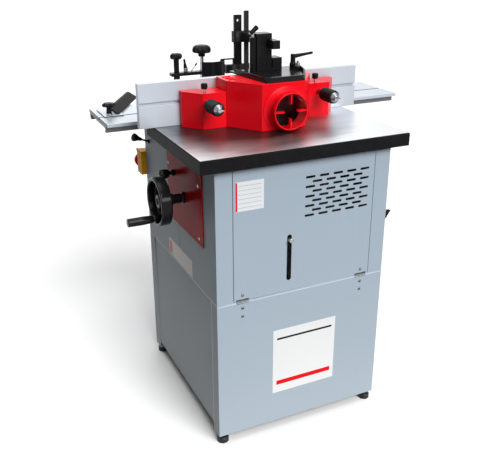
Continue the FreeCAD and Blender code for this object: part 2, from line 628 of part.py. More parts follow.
def rear_door():
    sheet_y = ("inner_y", "cab_y")
    fold_y = ("inner_y - door_return", "inner_y")
    sill = "door_bottom + hinge_notch"
    panel = fuse("door_solid",
                 block("door_sheet", ("-door_half_width", "door_half_width"), sheet_y,
                       ("door_bottom", "door_top")),
                 block("door_fold_left", ("door_half_width - sheet_gauge", "door_half_width"), fold_y,
                       (sill, "door_top")),
                 block("door_fold_right", ("-door_half_width", "-door_half_width + sheet_gauge"), fold_y,
                       (sill, "door_top")),
                 block("door_fold_top", ("-door_half_width", "door_half_width"), fold_y,
                       ("door_top - sheet_gauge", "door_top")))
    slot_y = ("inner_y - overrun", "cab_y + overrun")
    half = "door_slot_width / 2"
    slot = fuse("door_slot",
                block("door_slot_middle", ("door_slot_x - " + half, "door_slot_x + " + half), slot_y,
                      ("door_slot_low + " + half, "door_slot_high - " + half)),
                rod("door_slot_foot", "y", half, slot_y, ("door_slot_x", "door_slot_low + " + half)),
                rod("door_slot_head", "y", half, slot_y, ("door_slot_x", "door_slot_high - " + half)))
    opened = cut("door_slotted", panel, slot, *hinge_notches("door"))
    return node(cut("rear_door", opened, louvre_cutters()), "rear_door")


def side_plate():
    plate = block("side_plate_blank", ("cab_x", "plate_face"), ("-plate_front", "plate_rear"),
                  ("plate_low", "cabinet_top - plate_top_gap"))
    through = ("cab_x - overrun", "plate_face + overrun")
    return node(cut("side_plate", plate,
                    rod("plate_bush_hole", "x", "bush_radius + bush_hole_gap", through,
                        ("wheel_y", "wheel_z")),
                    rod("plate_lock_hole", "x", "lock_stem_radius + fit_gap", through,
                        ("lock_y", "lock_z"))),
                "side_plate")


# Bush of the handwheel's shaft, a flange and a sleeve, through the plate and the sheet
def shaft_bush():
    bore = "shaft_radius + running_gap"
    inside = "cab_x - bush_inside"
    flange = "plate_face + bush_flange_gauge"
    nose = "hub_end - wheel_face_gap"
    profile = [(bore, inside), ("bush_radius", inside), ("bush_radius", "plate_face"),
               ("bush_flange", "plate_face"), ("bush_flange", flange), ("bush_radius", flange),
               ("bush_radius", nose), (bore, nose)]
    return node(turned("shaft_bush", "x", profile, ("wheel_y", "wheel_z")), "shaft_bush")


# Dished wheel: hub, web and a broad rim, with a boss and bolt for the grip
def handwheel():
    bore = "shaft_radius + fit_gap"
    web_front = "wheel_back + web_gauge"
    inner_rim = "wheel_radius - rim_wall"
    hub_front = "wheel_back + web_gauge + hub_nose"
    profile = [(bore, "hub_end"), ("hub_radius", "hub_end"), ("hub_radius", "wheel_back"),
               ("wheel_radius - rim_round", "wheel_back"), ("wheel_radius", "wheel_back + rim_round"),
               ("wheel_radius", "wheel_front - rim_round"), ("wheel_radius - rim_round", "wheel_front"),
               (inner_rim, "wheel_front"), (inner_rim + " - rim_round", web_front),
               ("hub_radius - rim_round", web_front), ("hub_radius - 2 * rim_round", hub_front),
               (bore, hub_front)]
    wheel = turned("wheel_turned", "x", profile, ("wheel_y", "wheel_z"))
    centre = ("grip_y", "grip_z")
    boss = rod("grip_boss", "x", "boss_radius", ("wheel_back + web_gauge / 2", "wheel_front"), centre)
    bolt = rod("grip_bolt", "x", "grip_bolt_radius",
               ("wheel_back + web_gauge / 2", "wheel_front + grip_gap + grip_length - grip_round"), centre)
    return node(fuse("handwheel", wheel, boss, bolt), "handwheel")


def handwheel_grip():
    start = "wheel_front + grip_gap"
    end = start + " + grip_length"
    bore = "grip_bolt_radius + running_gap"
    profile = [(bore, start), ("grip_waist", start), ("grip_radius", start + " + grip_length / 3"),
               ("grip_radius", end + " - grip_round"), ("grip_radius - grip_round", end), ("0", end),
               ("0", end + " - grip_round / 2"), (bore, end + " - grip_round / 2")]
    return node(turned("handwheel_grip", "x", profile, ("grip_y", "grip_z")), "handwheel_grip")


# Bevel gear whose cone points at the crossing of the two axes; rows are measured from that crossing
def bevel_gear(name, way, facing, place):
    root = "gear_root_angle * 1 deg"
    tip = "gear_tip_angle * 1 deg"

    def on_cone(slant, angle):
        return ("%s * sin(%s)" % (slant, angle), "%s%s * cos(%s)" % (way, slant, angle))
    back = "%s(gear_outer * cos(%s) + gear_hub)" % (way, root)
    body = doc.addObject("PartDesign::Body", name)
    body.Placement = Placement(Vector(), facing)
    for axis, where in zip("xyz", place):
        bind(body, "Placement.Base." + axis, where)
    blank_profile = [("0", on_cone("gear_inner", root)[1]), on_cone("gear_inner", root),
                     on_cone("gear_outer", root), ("gear_hub_radius", on_cone("gear_outer", root)[1]),
                     ("gear_hub_radius", back), ("0", back)]
    blank_sketch = outline_sketch(body, name + "_blank_profile", blank_profile)
    blank = body.newObject("PartDesign::Revolution", name + "_blank")
    blank.Profile = blank_sketch
    blank.ReferenceAxis = (blank_sketch, ["V_Axis"])
    blank.Angle = 360
    deep = "(gear_root_angle - gear_tooth_angle / 2) * 1 deg"
    tooth_sketch = outline_sketch(body, name + "_tooth_profile",
                                  [on_cone("gear_inner", deep), on_cone("gear_inner", tip),
                                   on_cone("gear_outer", tip), on_cone("gear_outer", deep)])
    tooth = body.newObject("PartDesign::Revolution", name + "_tooth")
    tooth.Profile = tooth_sketch
    tooth.ReferenceAxis = (tooth_sketch, ["V_Axis"])
    tooth.Midplane = True
    bind(tooth, "Angle", "gear_tooth_angle")
    teeth = body.newObject("PartDesign::PolarPattern", name + "_teeth")
    teeth.Originals = [tooth]
    teeth.Axis = (tooth_sketch, ["V_Axis"])
    teeth.Angle = 360
    bind(teeth, "Occurrences", "gear_teeth")
    body.Tip = teeth
    return body


# The handwheel's shaft carries a bevel gear that turns the height screw
def handwheel_shaft():
    facing = Rotation(Vector(0, 0, -1), Vector(1, 0, 0), Vector(0, -1, 0), "XYZ")
    gear = bevel_gear("shaft_gear", "", facing, ("screw_x", "wheel_y", "wheel_z"))
    start = "screw_x + gear_outer * cos(gear_root_angle * 1 deg)"
    bar = rod("shaft_bar", "x", "shaft_radius",
              (start, "wheel_back + web_gauge + hub_nose - shaft_end_gap"),
              ("wheel_y", "wheel_z"))
    return node(fuse("handwheel_shaft", gear, bar), "handwheel_shaft")


def lift_screw():
    half_pitch = 180 / worked("gear_teeth")
    facing = Rotation(Vector(0, 0, 1), half_pitch) * lathe_turn["z"]
    gear = bevel_gear("screw_gear", "-", facing, ("screw_x", "wheel_y", "wheel_z"))
    bar = rod("lift_screw_bar", "z", "lift_screw_radius",
              ("lift_screw_low", "wheel_z - gear_outer * cos(gear_root_angle * 1 deg)"),
              ("screw_x", "wheel_y"))
    return node(fuse("lift_screw", gear, bar), "lift_screw")


# Bracket hung under the table: bearings for the shaft's inner end and the height screw's top
def lift_bracket():
    y_limits = ("wheel_y - bracket_half", "wheel_y + bracket_half")
    arm_low = "bracket_arm_top - bracket_gauge"
    solid = fuse("lift_bracket_solid",
                 block("bracket_hanger", ("bracket_x", "bracket_x + bracket_gauge"), y_limits,
                       (arm_low, "plate_ceiling")),
                 block("bracket_arm", ("screw_x - bracket_reach", "bracket_x + bracket_gauge"), y_limits,
                       (arm_low, "bracket_arm_top")),
                 block("bracket_top", ("bracket_x - bracket_half",
                                       "bracket_x + bracket_half + bracket_gauge"),
                       y_limits, ("plate_ceiling - bracket_gauge", "plate_ceiling")))
    return node(cut("lift_bracket", solid,
                    rod("bracket_shaft_bore", "x", "shaft_radius + running_gap",
                        ("bracket_x - overrun", "bracket_x + bracket_gauge + overrun"),
                        ("wheel_y", "wheel_z")),
                    rod("bracket_screw_bore", "z", "lift_screw_radius + running_gap",
                        (arm_low + " - overrun", "bracket_arm_top + overrun"), ("screw_x", "wheel_y"))),
                "lift_bracket")


def height_lock_knob():
    collar = "plate_face + lock_collar"
    face = "plate_face + lock_reach"
    end = face + " + lock_knob_depth"
    centre = ("lock_y", "lock_z")
    parts = star_knob("lock_knob", "x", "lock_knob_radius", (face, end), centre)
    profile = [("0", "cab_x - lock_inside"), ("lock_stem_radius", "cab_x - lock_inside"),
               ("lock_stem_radius", "plate_face + face_gap"),
               ("lock_collar_radius", "plate_face + face_gap"),
               ("lock_collar_radius", collar), ("lock_stem_radius", collar), ("lock_stem_radius", end),
               ("0", end)]
    parts.append(turned("lock_stem", "x", profile, centre))
    return node(fuse("height_lock_knob", *parts), "height_lock_knob")


# Quarter-turn knob on the far side near the door, with a tongue inside
def side_latch():
    outer = "-cab_x - face_gap"
    tip = outer + " - latch_depth"
    inner = "-inner_x + latch_inside"
    centre = ("latch_y", "latch_z")
    profile = [("0", inner), ("latch_stem_radius", inner), ("latch_stem_radius", outer),
               ("latch_radius", outer),
               ("latch_radius", tip + " + knob_edge"), ("latch_radius - knob_edge", tip), ("0", tip)]
    tongue = block("latch_tongue", ("-inner_x + face_gap", "-inner_x + face_gap + latch_ear_gauge"),
                   ("latch_y - latch_stem_radius", "latch_y + latch_stem_radius"),
                   ("latch_z - latch_ear", "latch_z"))
    return node(fuse("side_latch", turned("latch_knob", "x", profile, centre), tongue), "side_latch")


# Slide lock: a stem through the side, a thin tilted rod and a cone-shaped knob
def slide_lock_lever():
    centre = ("lever_y", "lever_z")
    inside = "cab_x - lever_inside"
    seat = "cab_x + face_gap"
    collar = seat + " + lever_collar"
    stem = turned("lever_stem", "x", [("0", inside), ("lever_rod_radius", inside),
                                      ("lever_rod_radius", seat),
                                      ("lever_collar_radius", seat), ("lever_collar_radius", collar),
                                      ("0", collar)], centre)
    end = "lever_rod + lever_knob"
    profile = [("0", "0"), ("lever_rod_radius", "0"), ("lever_rod_radius", "lever_rod"),
               ("lever_tip_radius", "lever_rod"), ("lever_tip_radius", "lever_rod + lever_knob / 6"),
               ("lever_knob_radius", end + " - lever_round"),
               ("lever_knob_radius", end + " - lever_round / 2"),
               ("lever_tip_radius", end), ("0", end)]
    arm = turned("lever_arm_turned", "x", profile, centre)
    arm.Placement = Placement(Vector(), Rotation(Vector(0, -1, 0), worked("lever_tilt")) * lathe_turn["x"])
    bind(arm, "Placement.Base.x", seat + " + lever_collar / 2")
    return node(fuse("slide_lock_lever", stem, arm), "slide_lock_lever")


# Switch box on a bracket at the operator's corner; the flap carries the stop button
def switch():
    half = "switch_width / 2"
    x_limits = ("switch_x - " + half, "switch_x + " + half)
    z_limits = ("switch_low", "switch_high")
    bracket = block("switch_bracket_plate", ("cab_x - switch_bracket", "switch_x + " + half),
                    ("switch_face", "-cab_y"), z_limits)
    housing = block("switch_housing", x_limits, ("switch_front", "switch_face"), z_limits)
    pin_z = "switch_high - flap_hinge_drop"
    pin_y = "switch_front - flap_gap - flap_gauge / 2"
    ear_x = ("switch_x - " + half, "switch_x - %s + flap_ear" % half)
    other_ear_x = ("switch_x + %s - flap_ear" % half, "switch_x + " + half)
    ears = [block("switch_ear_%d" % index, limits,
                  ("switch_front - flap_gap - flap_gauge", "switch_front"),
                  ("switch_high - 2 * flap_hinge_drop", "switch_high"))
            for index, limits in enumerate((ear_x, other_ear_x))]
    pin = rod("flap_pin", "x", "flap_pin_radius", x_limits, (pin_y, pin_z))
    start_z = "switch_high - start_drop"
    bore = rod("start_bore", "y", "start_radius + button_gap",
               ("switch_front - overrun", "switch_front + start_sink"), ("switch_x", start_z))
    stop_z = "switch_low + mushroom_lift"
    body = fuse("switch_solid", cut("switch_bored", fuse("switch_block", bracket, housing), bore), pin,
                *ears)
    node(body, "switch_box")

    flap_x = ("switch_x - %s + flap_ear + flap_gap" % half, "switch_x + %s - flap_ear - flap_gap" % half)
    back = "switch_front - flap_gap"
    deck = back + " - flap_gauge"
    nose = deck + " - flap_nose"
    low = "switch_low + flap_low"
    high = "switch_high - 2 * flap_hinge_drop - flap_chamfer"
    corners = [(back, low), (nose, low), (nose, high), (deck, high + " + flap_chamfer"),
               (deck, pin_z + " + flap_gauge / 2"), (back, pin_z + " + flap_gauge / 2")]
    lid = prism("flap_lid", "x", corners, flap_x)
    hollow = block("flap_hollow", (flap_x[0] + " + flap_gauge", flap_x[1] + " - flap_gauge"),
                   (nose + " + flap_gauge", back + " + overrun"), (low + " + flap_gauge", high))
    stem_bore = rod("flap_stem_bore", "y", "mushroom_stem + button_gap",
                    (nose + " - overrun", back + " + overrun"), ("switch_x", stop_z))
    pin_bore = rod("flap_pin_bore", "x", "flap_pin_radius + running_gap",
                   (x_limits[0] + " - overrun", x_limits[1] + " + overrun"), (pin_y, pin_z))
    node(cut("switch_flap", lid, hollow, stem_bore, pin_bore), "switch_flap")

    cap = nose + " - mushroom_travel - button_gap"
    crown = cap + " - mushroom_depth"
    seat = "switch_front - flap_gap - mushroom_travel"
    profile = [("0", seat), ("mushroom_stem", seat), ("mushroom_stem", cap), ("mushroom_radius", cap),
               ("mushroom_radius", crown + " + mushroom_crown"),
               ("mushroom_radius - mushroom_crown", crown),
               ("0", crown)]
    node(turned("stop_button", "y", profile, ("switch_x", stop_z)), "stop_button")
    button_back = "switch_front + start_sink - start_depth"
    profile = [("0", button_back), ("start_radius", button_back),
               ("start_radius", "switch_front + button_gap"),
               ("0", "switch_front + button_gap")]
    node(turned("start_button", "y", profile, ("switch_x", start_z)), "start_button")


# Cast table: a ribbed plate with a deep edge and a stepped hole round the spindle
def table():
    outer = block("table_outer", ("-table_x", "table_x"), ("-table_front", "table_rear"),
                  ("cabinet_top", "table_top"))
    inside_x = ("-table_x + table_seat", "table_x - table_seat")
    pocket = block("table_pocket", inside_x, ("-table_front + table_rim", "table_rear - table_seat"),
                   ("cabinet_top - overrun", "plate_ceiling"))
    ribs = [block("table_rib_%d" % index, ("%stable_rib_x - table_rib / 2" % way,
                                           "%stable_rib_x + table_rib / 2" % way),
                  ("-table_front + table_rim / 2", "table_rear - table_seat / 2"),
                  ("cabinet_top + table_rib_drop", "plate_ceiling + table_rib_drop / 2"))
            for index, way in enumerate(("", "-"))]
    ribbed = fuse("table_ribbed", cut("table_hollow", outer, pocket), *ribs)
    centre = ("spindle_x", "spindle_y")
    bored = cut("table_bored", ribbed,
                rod("table_recess", "z", "ring_radius + ring_gap",
                    ("table_top - ring_gauge", "table_top + overrun"),
                    centre),
                rod("table_hole", "z", "ring_ledge", ("cabinet_top - overrun", "table_top + overrun"),
                    centre))
    edge = doc.addObject("Part::Chamfer", "table")
    edge.Base = bored
    doc.recompute()
    size = worked("table_edge")
    top = worked("table_top")
    rims = []
    for index, line in enumerate(bored.Shape.Edges, start=1):
        box = line.BoundBox
        straight = line.Curve.TypeId == "Part::GeomLine"
        if straight and box.ZMin > top - size and box.ZLength < size:
            rims.append((index, size, size))
    edge.Edges = rims
    return node(edge, "table")


def insert_rings():
    rings = []
    centre = ("spindle_x", "spindle_y")
    for name, outer, inner in (("outer", "ring_radius", "ring_split + ring_gap"),
                               ("inner", "ring_split", "ring_bore")):
        rings.append(cut("ring_" + name,
                         rod("ring_%s_disc" % name, "z", outer, ("table_top - ring_gauge", "table_top"),
                             centre),
                         rod("ring_%s_hole" % name, "z", inner,
                             ("table_top - ring_gauge - overrun", "table_top + overrun"), centre)))
    lip = cut("ring_lip", rod("ring_lip_disc", "z", "ring_ledge - ring_gap",
                              ("table_top - 2 * ring_gauge", "table_top - ring_gauge"), centre),
              rod("ring_lip_hole", "z", "ring_bore", ("table_top - 3 * ring_gauge", "table_top"), centre))
    rings[1] = fuse("ring_inner_whole", rings[1], lip)
    return node(group("insert_rings", *rings), "insert_rings")


def guide_columns():
    columns = [rod("column_%d" % index, "z", "column_radius", ("column_low", "plate_ceiling"),
                   (x_place, "spindle_y"))
               for index, x_place in enumerate(("column_left", "column_right"))]
    return node(group("guide_columns", *columns), "guide_columns")


# Lift carriage: one casting with the quill housing, two sleeves, the motor's seat and the lift nut in it
def lift_carriage():
    margin = "carriage_margin"
    corners = [("column_right - %s" % margin, "spindle_y - sleeve_radius"),
               ("column_left + %s" % margin, "spindle_y - sleeve_radius"),
               ("screw_x + %s" % margin, "wheel_y + %s" % margin),
               ("door_slot_x + tension_arm_half", "lug_face"),
               ("door_slot_x - tension_arm_half", "lug_face"),
               ("motor_x + motor_flange_radius", "motor_y"),
               ("motor_x + motor_flange_radius / 2", "motor_y + motor_flange_radius"),
               ("motor_x - motor_flange_radius / 2", "motor_y + motor_flange_radius"),
               ("motor_x - motor_flange_radius", "motor_y")]
    limits = ("carriage_low", "carriage_high")
    centre = ("spindle_x", "spindle_y")
    parts = [prism("carriage_plate", "z", corners, limits),
             rod("quill_tube", "z", "quill_radius", ("carriage_low", "quill_top"), centre),
             block("tension_lug", ("door_slot_x - tension_arm_half", "door_slot_x + tension_arm_half"),
                   ("tension_lug_y", "lug_face"), ("tension_lug_low", "carriage_high"))]
    holes = [rod("quill_bore_hole", "z", "quill_bore", ("carriage_low - overrun", "quill_top + overrun"),
                 centre),
             rod("bearing_seat_high", "z", "bearing_radius",
                 ("quill_top - bearing_inset - bearing_width", "quill_top + overrun"), centre),
             rod("bearing_seat_low", "z", "bearing_radius",
                 ("carriage_low - overrun", "carriage_low + bearing_inset + bearing_width"), centre),
             rod("motor_shaft_hole", "z", "2 * motor_shaft_radius",
                 ("carriage_low - overrun", "carriage_high + overrun"),
                 ("motor_x", "motor_y")),
             rod("lift_nut_seat", "z", "lift_nut_radius",
                 ("carriage_low - overrun", "carriage_high + overrun"),
                 ("screw_x", "wheel_y")),
             rod("tension_bore", "y", "tension_rod_radius + fit_gap",
                 ("tension_lug_y - overrun", "lug_face + overrun"),
                 ("door_slot_x", "tension_z"))]
    for tag, x_place in (("left", "column_left"), ("right", "column_right")):
        parts.append(rod("sleeve_" + tag, "z", "sleeve_radius",
                         ("carriage_low", "carriage_high + sleeve_rise"),
                         (x_place, "spindle_y")))
        holes.append(rod("sleeve_bore_" + tag, "z", "column_radius + running_gap",
                         ("carriage_low - overrun", "carriage_high + sleeve_rise + overrun"),
                         (x_place, "spindle_y")))
    casting = cut("carriage_casting", fuse("carriage_solid", *parts), *holes)
    nut_low = "carriage_low - lift_nut_drop"
    nut = cut("lift_nut", rod("lift_nut_body", "z", "lift_nut_radius", (nut_low, "carriage_high"),
                              ("screw_x", "wheel_y")),
              rod("lift_nut_bore", "z", "lift_screw_radius + running_gap",
                  (nut_low + " - overrun", "carriage_high + overrun"),
                  ("screw_x", "wheel_y")))
    return node(group("lift_carriage", casting, nut), "lift_carriage")


def spindle_bearings():
    bearings = []
    for index, low in enumerate(("carriage_low + bearing_inset",
                                 "quill_top - bearing_inset - bearing_width")):
        limits = (low, low + " + bearing_width")
        bore = (low + " - overrun", low + " + bearing_width + overrun")
        centre = ("spindle_x", "spindle_y")
        bearings.append(cut("bearing_%d" % index,
                            rod("bearing_body_%d" % index, "z", "bearing_radius", limits, centre),
                            rod("bearing_bore_%d" % index, "z", "journal_radius + running_gap", bore,
                                centre)))
    return node(group("spindle_bearings", *bearings), "spindle_bearings")


def spindle_shaft():
    low = "pulley_low - tail_gap"
    seat = "carriage_low"
    profile = [("0", low), ("tail_radius", low), ("tail_radius", seat), ("journal_radius", seat),
               ("journal_radius", "collar_low"), ("collar_radius", "collar_low"),
               ("collar_radius", "collar_high"),
               ("arbor_radius", "collar_high"), ("arbor_radius", "arbor_top"),
               ("thread_radius", "arbor_top"),
               ("thread_radius", "arbor_top + thread_length"), ("0", "arbor_top + thread_length")]
    return node(turned("spindle_shaft", "z", profile, ("spindle_x", "spindle_y")), "spindle_shaft")


# Spacer rings stacked on the arbor under the clamping nut
spacer_stack = ("spacer_thick", "spacer_thick", "spacer_thin", "spacer_thick", "spacer_thin")


def spindle_rings():
    pieces = []
    low = "collar_high"
    centre = ("spindle_x", "spindle_y")
    for index, gauge in enumerate(spacer_stack):
        high = "%s + %s" % (low, gauge)
        pieces.append(cut("spacer_%d" % index,
                          rod("spacer_body_%d" % index, "z", "spacer_radius", (low, high), centre),
                          rod("spacer_bore_%d" % index, "z", "arbor_radius + fit_gap",
                              (low + " - overrun", high + " + overrun"), centre)))
        low = high
    top = low + " + spindle_nut_height"
    pieces.append(cut("spindle_nut", hexagon("spindle_nut_body", "spindle_nut_across", (low, top), centre),
                      rod("spindle_nut_bore", "z", "arbor_radius + fit_gap",
                          (low + " - overrun", top + " + overrun"),
                          centre)))
    return node(group("spindle_rings", *pieces), "spindle_rings")


# Two-step pulley: the belt runs in the upper groove
def pulley(name, bore, upper, lower, centre):
    lip = "pulley_lip"
    largest = upper if worked(upper) > worked(lower) else lower
    profile = [(bore, "pulley_low"), ("%s + %s" % (lower, lip), "pulley_low"),
               ("%s + %s" % (lower, lip), "second_low"),
               (lower, "second_low"), (lower, "second_top"), ("%s + %s" % (largest, lip), "second_top"),
               ("%s + %s" % (largest, lip), "groove_low_z"), (upper, "groove_low_z"), (upper, "groove_top"),
               ("%s + %s" % (upper, lip), "groove_top"), ("%s + %s" % (upper, lip), "pulley_high"),
               (bore, "pulley_high")]
    return turned(name, "z", profile, centre)


def drive_pulleys():
    node(pulley("spindle_pulley", "tail_radius + fit_gap", "spindle_pulley_radius", "spindle_pulley_large",
                ("spindle_x", "spindle_y")), "spindle_pulley")
    centre = ("motor_x", "motor_y")
    wheel = pulley("motor_pulley_wheel", "motor_shaft_radius", "motor_pulley_radius", "motor_pulley_small",
                   centre)
    shaft = rod("motor_shaft", "z", "motor_shaft_radius",
                ("pulley_low - tail_gap", "carriage_high + motor_shaft_inside"),
                centre)
    node(fuse("motor_pulley", wheel, shaft), "motor_pulley")


# Belt loop: two arcs joined by the common outer tangents, the inner face just clear of both grooves
def drive_belt():
    first = Vector(worked("spindle_x"), worked("spindle_y"), 0)
    second = Vector(worked("motor_x"), worked("motor_y"), 0)
    low = worked("groove_low_z") + (worked("groove_height") - worked("belt_height")) / 2

    def loop(extra):
        radii = (worked("spindle_pulley_radius") + extra, worked("motor_pulley_radius") + extra)
        line = second - first
        spread = math.degrees(math.acos((radii[0] - radii[1]) / line.Length))
        heading = math.degrees(math.atan2(line.y, line.x))

        def at(centre, radius, angle):
            turn = math.radians(angle)
            return centre + Vector(radius * math.cos(turn), radius * math.sin(turn), 0)
        far = Part.Arc(at(second, radii[1], heading - spread), at(second, radii[1], heading),
                       at(second, radii[1], heading + spread)).toShape()
        near = Part.Arc(at(first, radii[0], heading + spread), at(first, radii[0], heading + 180),
                        at(first, radii[0], heading - spread)).toShape()
        sides = [Part.LineSegment(at(second, radii[1], heading + way * spread),
                                  at(first, radii[0], heading + way * spread)).toShape() for way in (1, -1)]
        return Part.Face(Part.Wire([far, sides[0], near, sides[1]]))
    inner = loop(worked("belt_gap"))
    outer = loop(worked("belt_gap + belt_gauge"))
    band = outer.cut(inner).extrude(Vector(0, 0, worked("belt_height")))
    belt = doc.addObject("Part::Feature", "drive_belt")
    belt.Shape = band.Solids[0]
    belt.Placement = Placement(Vector(0, 0, low), Rotation())
    return node(belt, "drive_belt")


def motor_body():
    top = "carriage_high + motor_height"
    bore = "motor_shaft_radius + running_gap"
    deep = "carriage_high + motor_shaft_inside + tail_gap"
    profile = [(bore, "carriage_high"), ("motor_flange_radius", "carriage_high"),
               ("motor_flange_radius", "carriage_high + motor_flange"),
               ("motor_radius", "carriage_high + motor_flange"),
               ("motor_radius", top + " - motor_cap"), ("motor_cap_radius", top), ("0", top), ("0", deep),
               (bore, deep)]
    centre = ("motor_x", "motor_y")
    body = turned("motor_turned", "z", profile, centre)
    box = block("motor_terminal_box", ("motor_x - motor_radius - motor_box_depth",
                                       "motor_x - motor_radius / 2"),
                ("motor_y - motor_box / 2", "motor_y + motor_box / 2"),
                ("carriage_high + motor_cap", "carriage_high + motor_cap + motor_box_height"))
    well = rod("motor_well", "z", bore, ("carriage_high - overrun", deep), centre)
    return node(cut("motor_body", fuse("motor_solid", body, box), well), "motor_body")


# Belt tension knob: its end stands in the door's slot
def tension_knob():
    end = "cab_y + tension_out + tension_knob"
    start = "tension_lug_y - tension_inside"
    profile = [("0", start), ("tension_rod_radius", start), ("tension_rod_radius", "cab_y + tension_out"),
               ("tension_knob_radius", "cab_y + tension_out"),
               ("tension_knob_radius", end + " - tension_round"),
               ("tension_knob_radius - tension_round", end), ("0", end)]
    return node(turned("tension_knob", "y", profile, ("door_slot_x", "tension_z")), "tension_knob")


# Sliding table: an extruded deck with a slotted top and two legs that hook under the rail
def sliding_table():
    slot_left = "slide_slot_y - slot_mouth / 2"
    slot_right = "slide_slot_y + slot_mouth / 2"
    wide_left = "slide_slot_y - slot_inner / 2"
    wide_right = "slide_slot_y + slot_inner / 2"
    lip = "table_top - slot_lip"
    floor = "table_top - slot_depth"
    foot = "table_top - leg_drop"
    hook = foot + " + leg_lip_gauge"
    edge = "table_top - slide_edge"
    corners = [("-slide_front", edge), ("-slide_body_front", edge), ("-slide_body_front", foot),
               ("-slide_body_front + leg_lip", foot), ("-slide_body_front + leg_lip", hook),
               ("-slide_body_front + leg_gauge", hook), ("-slide_body_front + leg_gauge", "deck_low"),
               ("-slide_body_rear - leg_gauge", "deck_low"), ("-slide_body_rear - leg_gauge", hook),
               ("-slide_body_rear - leg_lip", hook), ("-slide_body_rear - leg_lip", foot),
               ("-slide_body_rear", foot), ("-slide_body_rear", edge), ("-slide_rear", edge),
               ("-slide_rear", "table_top"), (slot_right, "table_top"), (slot_right, lip),
               (wide_right, lip),
               (wide_right, floor), (wide_left, floor), (wide_left, lip), (slot_left, lip),
               (slot_left, "table_top"), ("-slide_front", "table_top")]
    return node(prism("sliding_table", "x", corners, ("-slide_low_x", "slide_high_x")), "sliding_table")


def slide_rail():
    flange_left = "-slide_body_front + leg_gauge + way_gap"
    flange_right = "-slide_body_rear - leg_gauge - way_gap"
    stem_left = "-slide_body_front + rail_stem_in"
    stem_right = "-slide_body_rear - rail_stem_in"
    under = "way_low - rail_flange"
    corners = [(stem_left, "rail_low"), (stem_right, "rail_low"), (stem_right, under),
               (flange_right, under),
               (flange_right, "way_low"), (flange_left, "way_low"), (flange_left, under),
               (stem_left, under)]
    return node(prism("slide_rail", "x", corners, ("-rail_low_x", "rail_high_x")), "slide_rail")


# Two bars across the cabinet's top that carry the rail
def slide_brackets():
    bars = []
    for index, way in enumerate(("", "-")):
        middle = way + "bracket_slide_x"
        bars.append(block("slide_bracket_%d" % index,
                          (middle + " - bracket_slide_half", middle + " + bracket_slide_half"),
                          ("-bracket_slide_front", "-bracket_slide_rear"), ("cabinet_top", "rail_low")))
    return node(group("slide_brackets", *bars), "slide_brackets")


# Mitre plate on the sliding table with a leaning stop bar
def mitre_plate():
    low = "table_top"
    high = "stop_foot_z"
    plate = block("mitre_base", ("mitre_x - mitre_plate_right", "mitre_x + mitre_plate_left"),
                  ("slide_slot_y - mitre_plate_length + mitre_plate_behind",
                   "slide_slot_y + mitre_plate_behind"),
                  (low, high))
    section = [("0", "0"), ("stop_bar_gauge", "0"), ("stop_bar_gauge + stop_bar_across", "stop_bar_rise"),
               ("stop_bar_across", "stop_bar_rise")]
    bar = doc.addObject("PartDesign::Body", "stop_bar")
    along = Rotation(Vector(0, 0, 1), worked("stop_bar_heading")) * pad_turn["x"]
    bar.Placement = Placement(Vector(), along)
    bind(bar, "Placement.Base.x", "mitre_x - stop_bar_back")
    bind(bar, "Placement.Base.y", "slide_slot_y + stop_bar_shift")
    bind(bar, "Placement.Base.z", high)
    pad = bar.newObject("PartDesign::Pad", "stop_bar_pad")
    pad.Profile = outline_sketch(bar, "stop_bar_section", section)
    bind(pad, "Length", "stop_bar_length")
    bar.Tip = pad
    bore = rod("mitre_bore", "z", "mitre_bolt_radius + running_gap",
               (low + " - overrun", high + " + overrun"),
               ("mitre_x", "slide_slot_y"))
    return node(cut("mitre_plate", fuse("mitre_solid", plate, bar), bore), "mitre_plate")


def mitre_knob():
    seat = "stop_foot_z + face_gap"
    hub = seat + " + mitre_hub"
    face = "stop_foot_z + mitre_knob_z"
    top = face + " + mitre_knob_depth"
    centre = ("mitre_x", "slide_slot_y")
    parts = star_knob("mitre_star", "z", "mitre_knob_radius", (face, top), centre)
    low = "table_top - slot_depth + face_gap"
    profile = [("0", low), ("mitre_bolt_radius", low), ("mitre_bolt_radius", seat),
               ("mitre_hub_radius", seat),
               ("mitre_hub_radius", hub), ("mitre_stem_radius", hub), ("mitre_stem_radius", top),
               ("0", top)]
    parts.append(turned("mitre_stem", "z", profile, centre))
    return node(fuse("mitre_knob", *parts), "mitre_knob")


# Outline of the ball-shaped knob: shares of its radius and of its height
knob_outline_shares = ((0.33, 0), (0.33, 0.33), (0.88, 0.4), (1, 0.62), (0.9, 0.85), (0.6, 1))


